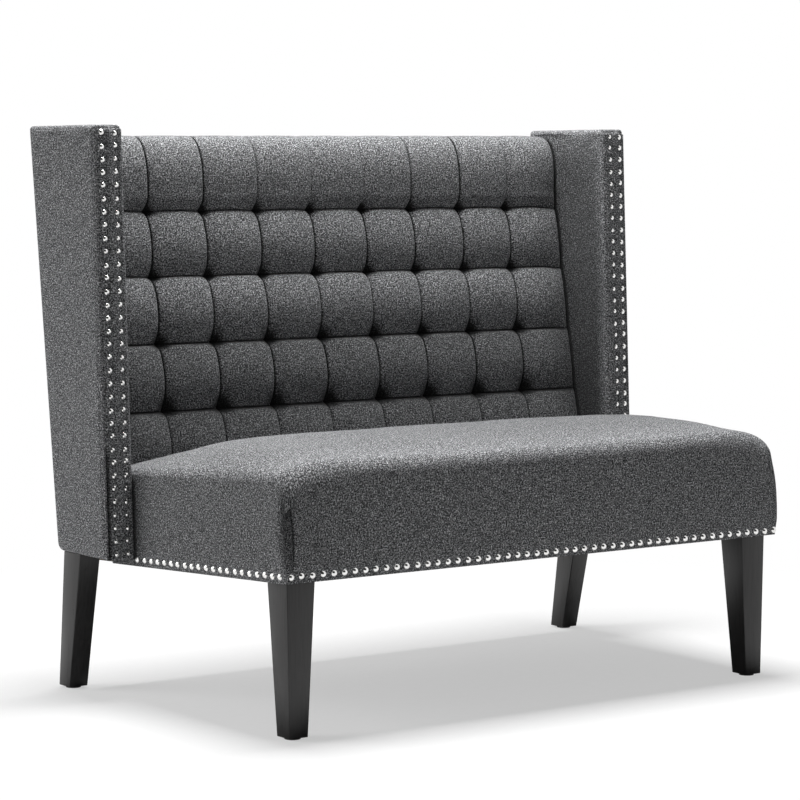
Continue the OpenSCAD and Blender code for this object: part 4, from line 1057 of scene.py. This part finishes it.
wing_length = (WING_TOP - WING_FOOT) / math.cos(math.atan(WING_LEAN))
for side, word in SIDES:
    half = (BAND_TO - BAND_FROM) / 2
    steps = np.concatenate([[-1, -0.995, -0.975, -0.94, -0.89, -0.82], np.linspace(-0.75, 0.75, 19),
                            [0.82, 0.89, 0.94, 0.975, 0.995, 1]])
    x, up = np.meshgrid(BAND_FROM + half + half * steps,
                        np.concatenate([[1.2, 1.5, 2.4, 4, 6.5], np.arange(9.5, wing_length - 6, 3.16),
                                        wing_length - np.array([5, 3, 1.8, 1.3, 1.0])]))
    across = np.broadcast_to(steps, x.shape)
    from_end = np.minimum(up - 1.2, wing_length - 1.0 - up)
    rolled = 4.5 * rounded((1 - np.abs(across)) * half, 5) + 4.0 * rounded(from_end, 5)
    chance = np.random.default_rng(60 + side)
    places = []
    for foot_x, top_x in NAIL_ROWS[side]:
        nail_ups = WING_NAIL_START + WING_NAIL_PITCH * np.arange(WING_NAILS)
        nail_ups += chance.uniform(-1.2, 1.2, WING_NAILS)
        nail_xs = foot_x + (top_x - foot_x) * nail_ups / wing_length + chance.uniform(-0.5, 0.5, WING_NAILS)
        places.append(np.stack([nail_xs, nail_ups], -1))
    places = np.concatenate(places)
    off_nails = ((x[..., None] - places[:, 0]) ** 2 + (up[..., None] - places[:, 1]) ** 2).min(-1)
    drawn = 1.7 * np.exp(-off_nails / 42)
    in_row = np.min([np.abs(x - foot_x - (top_x - foot_x) * up / wing_length)
                     for foot_x, top_x in NAIL_ROWS[side]], 0)
    tight = 0.7 * np.exp(-in_row ** 2 / 30)
    forward = 2.2 * (1 - across ** 2) - 0.2 - rolled - drawn - tight
    surface = on_front_edge(side * x, forward, up)
    surface[..., 1] -= ripple(surface, 40, 61) * 0.25
    # The cloth has painted shade round the nails, and in the gap to the seat.
    by_seat = 0.95 * np.exp(-((x - BAND_FROM) / 5) ** 4) * unit((195 - up) / 20)
    shade = unit(drawn * 0.25 + tight * 0.15 + by_seat)
    band = upholstery(f"{word}_wing_band_cloth", [(surface if side > 0 else surface[:, ::-1], shade)])
    lined(band, BAND_CLOTH)
    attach(band, "root")
    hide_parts(f"wing_band_{word}")

    ups = np.concatenate([[2.0, 2.6, 4], np.linspace(7, wing_length - 8, 150),
                          wing_length - np.array([5, 3.4, 2.8])])
    to_end = np.minimum(ups - 2, wing_length - 2.8 - ups)
    thin = WELT_RADIUS * np.sqrt(1 - unit(1 - to_end / WELT_RADIUS) ** 2)
    round_welt = np.linspace(0, 2 * math.pi, 15)
    rings = [on_front_edge(side * (HALF_WIDTH - 3.1 + r * np.cos(round_welt)),
                           -2.4 + r * np.sin(round_welt), np.full(15, up)) for r, up in zip(thin, ups)]
    welt = upholstery(f"{word}_wing_welt", [(np.stack(rings)[:, ::side], 0.0)])
    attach(welt, "root")

    heads = on_front_edge(side * places[:, 0], np.full(len(places), -NAIL_SINK), places[:, 1])
    ways = np.tile(on_front_edge(0.0, 1.0, 0.0) - on_front_edge(0.0, 0.0, 0.0), (len(places), 1))
    # Beside the seat the heads are turned a little outward and down, so that they mirror the pale
    # floor past the seat's dark side.
    ways[places[:, 1] < BESIDE_SEAT] += [side * 0.36, 0, -0.3]
    nails(f"{word}_wing_nail_heads", metres(heads), ways, 17 + side, f"wing_nails_{word}")


# Floor, light and camera. A sheet of white paper under a soft light overhead and a weaker one at
# the left rear, in a studio that is white but for a dark place behind the camera.
FLOOR_REACH = 30.0


def rays(start, *kinds):
    """For each kind of ray, 1 where the ray is of that kind and 0 where it isn't."""
    outputs = start.node("ShaderNodeLightPath", {}, {}).socket.node.outputs
    return [Value(start.tree, outputs[f"Is {kind} Ray"]) for kind in kinds]


def paper(start):
    """Paper that takes light and shade as a matt surface, and is seen as white away from the settee."""
    x, y, _ = object_place(start).parts()
    distance = start.sum("SQRT", x * x + y * y)
    seen, mirrored, through = rays(start, "Camera", "Glossy", "Transmission")
    grain = object_place(start).noise(60, 2.0)
    matt = start.node("ShaderNodeBsdfDiffuse", {},
                      {"Color": grain.ramp((0.3, (0.69, 0.69, 0.69)), (0.7, (0.71, 0.71, 0.71)))})
    white = start.node("ShaderNodeEmission", {}, {"Color": (1.0, 1.0, 1.0), "Strength": 1.0})
    far = start.node("ShaderNodeMath", {"operation": "MULTIPLY", "use_clamp": True},
                     {0: distance - 0.6, 1: 1.1})
    whiteness = (seen + through) * (far * 0.5 + 0.5) + mirrored * far
    start.node("ShaderNodeOutputMaterial", {}, {
        "Surface": start.node("ShaderNodeMixShader", {}, {0: whiteness, 1: matt, 2: white})})


def studio(start):
    """White to the camera, dim as a light, and in the metal white with a dark place."""
    x, y, z = start.node("ShaderNodeTexCoord", {}, {}, out="Generated").parts()
    behind_camera = (z * 0.46 - x * 0.38 - y * 0.80).ramp(
        (0.72, (1.0, 1.0, 1.0)), (0.86, (0.02, 0.02, 0.02)))
    soft, mirrored, plain = [start.node("ShaderNodeBackground", {}, {"Color": colour, "Strength": strength})
                             for colour, strength in (((1.0, 1.0, 1.0), 0.14), (behind_camera, 1.0),
                                                      ((1.0, 1.0, 1.0), 1.0))]
    seen, glossy, through = rays(start, "Camera", "Glossy", "Transmission")
    direct = start.sum("MAXIMUM", seen, through)
    all_but_direct = start.node("ShaderNodeMixShader", {}, {0: glossy, 1: soft, 2: mirrored})
    start.node("ShaderNodeOutputWorld", {}, {
        "Surface": start.node("ShaderNodeMixShader", {}, {0: direct, 1: all_but_direct, 2: plain})})


def built(holder, look):
    """The material or world with its nodes made by look."""
    holder.use_nodes = True
    holder.node_tree.nodes.clear()
    look(Value(holder.node_tree))
    return holder


bpy.context.scene.view_settings.view_transform = "Standard"
floor_mesh = bpy.data.meshes.new("studio_floor")
floor_corners = [(x * FLOOR_REACH, y * FLOOR_REACH, 0) for x, y in ((-1, -1), (1, -1), (1, 1), (-1, 1))]
floor_mesh.from_pydata(floor_corners, [], [(0, 1, 2, 3)])
floor_mesh.materials.append(built(bpy.data.materials.new("white_paper_floor"), paper))
placed("studio_floor", floor_mesh)
bpy.context.scene.world = built(bpy.data.worlds.new("studio"), studio)


def soft_box(name, place, aim, width, height, power):
    """A flat lamp of that size in metres and power in watts, aimed at a place."""
    lamp = bpy.data.lights.new(name, "AREA")
    lamp.shape, lamp.size, lamp.size_y, lamp.energy = "RECTANGLE", width, height, power
    made = placed(name, lamp)
    made.location = place
    made.rotation_euler = (Vector(aim) - Vector(place)).to_track_quat("-Z", "Y").to_euler()


soft_box("overhead", (0.05, 0.27, 3.0), (0.05, 0.27, 0.4), 1.3, 1.1, 166)
soft_box("left_rear", (-3.0, 1.7, 1.85), (0.0, 0.0, 0.5), 2.0, 2.0, 57)

EYE = (-3.10502, -4.09195, 0.94824)
YAW, PITCH, ROLL = -0.641595, -0.088544, 0.0066763
camera = placed("camera", bpy.data.cameras.new("camera"))
camera.matrix_world = (Matrix.Translation(EYE) @ Matrix.Rotation(YAW, 4, "Z")
                       @ Matrix.Rotation(math.pi / 2 + PITCH, 4, "X") @ Matrix.Rotation(ROLL, 4, "Z"))
camera.data.sensor_width, camera.data.lens = 36.0, 131.88
camera.data.clip_end = 100
bpy.context.scene.camera = camera
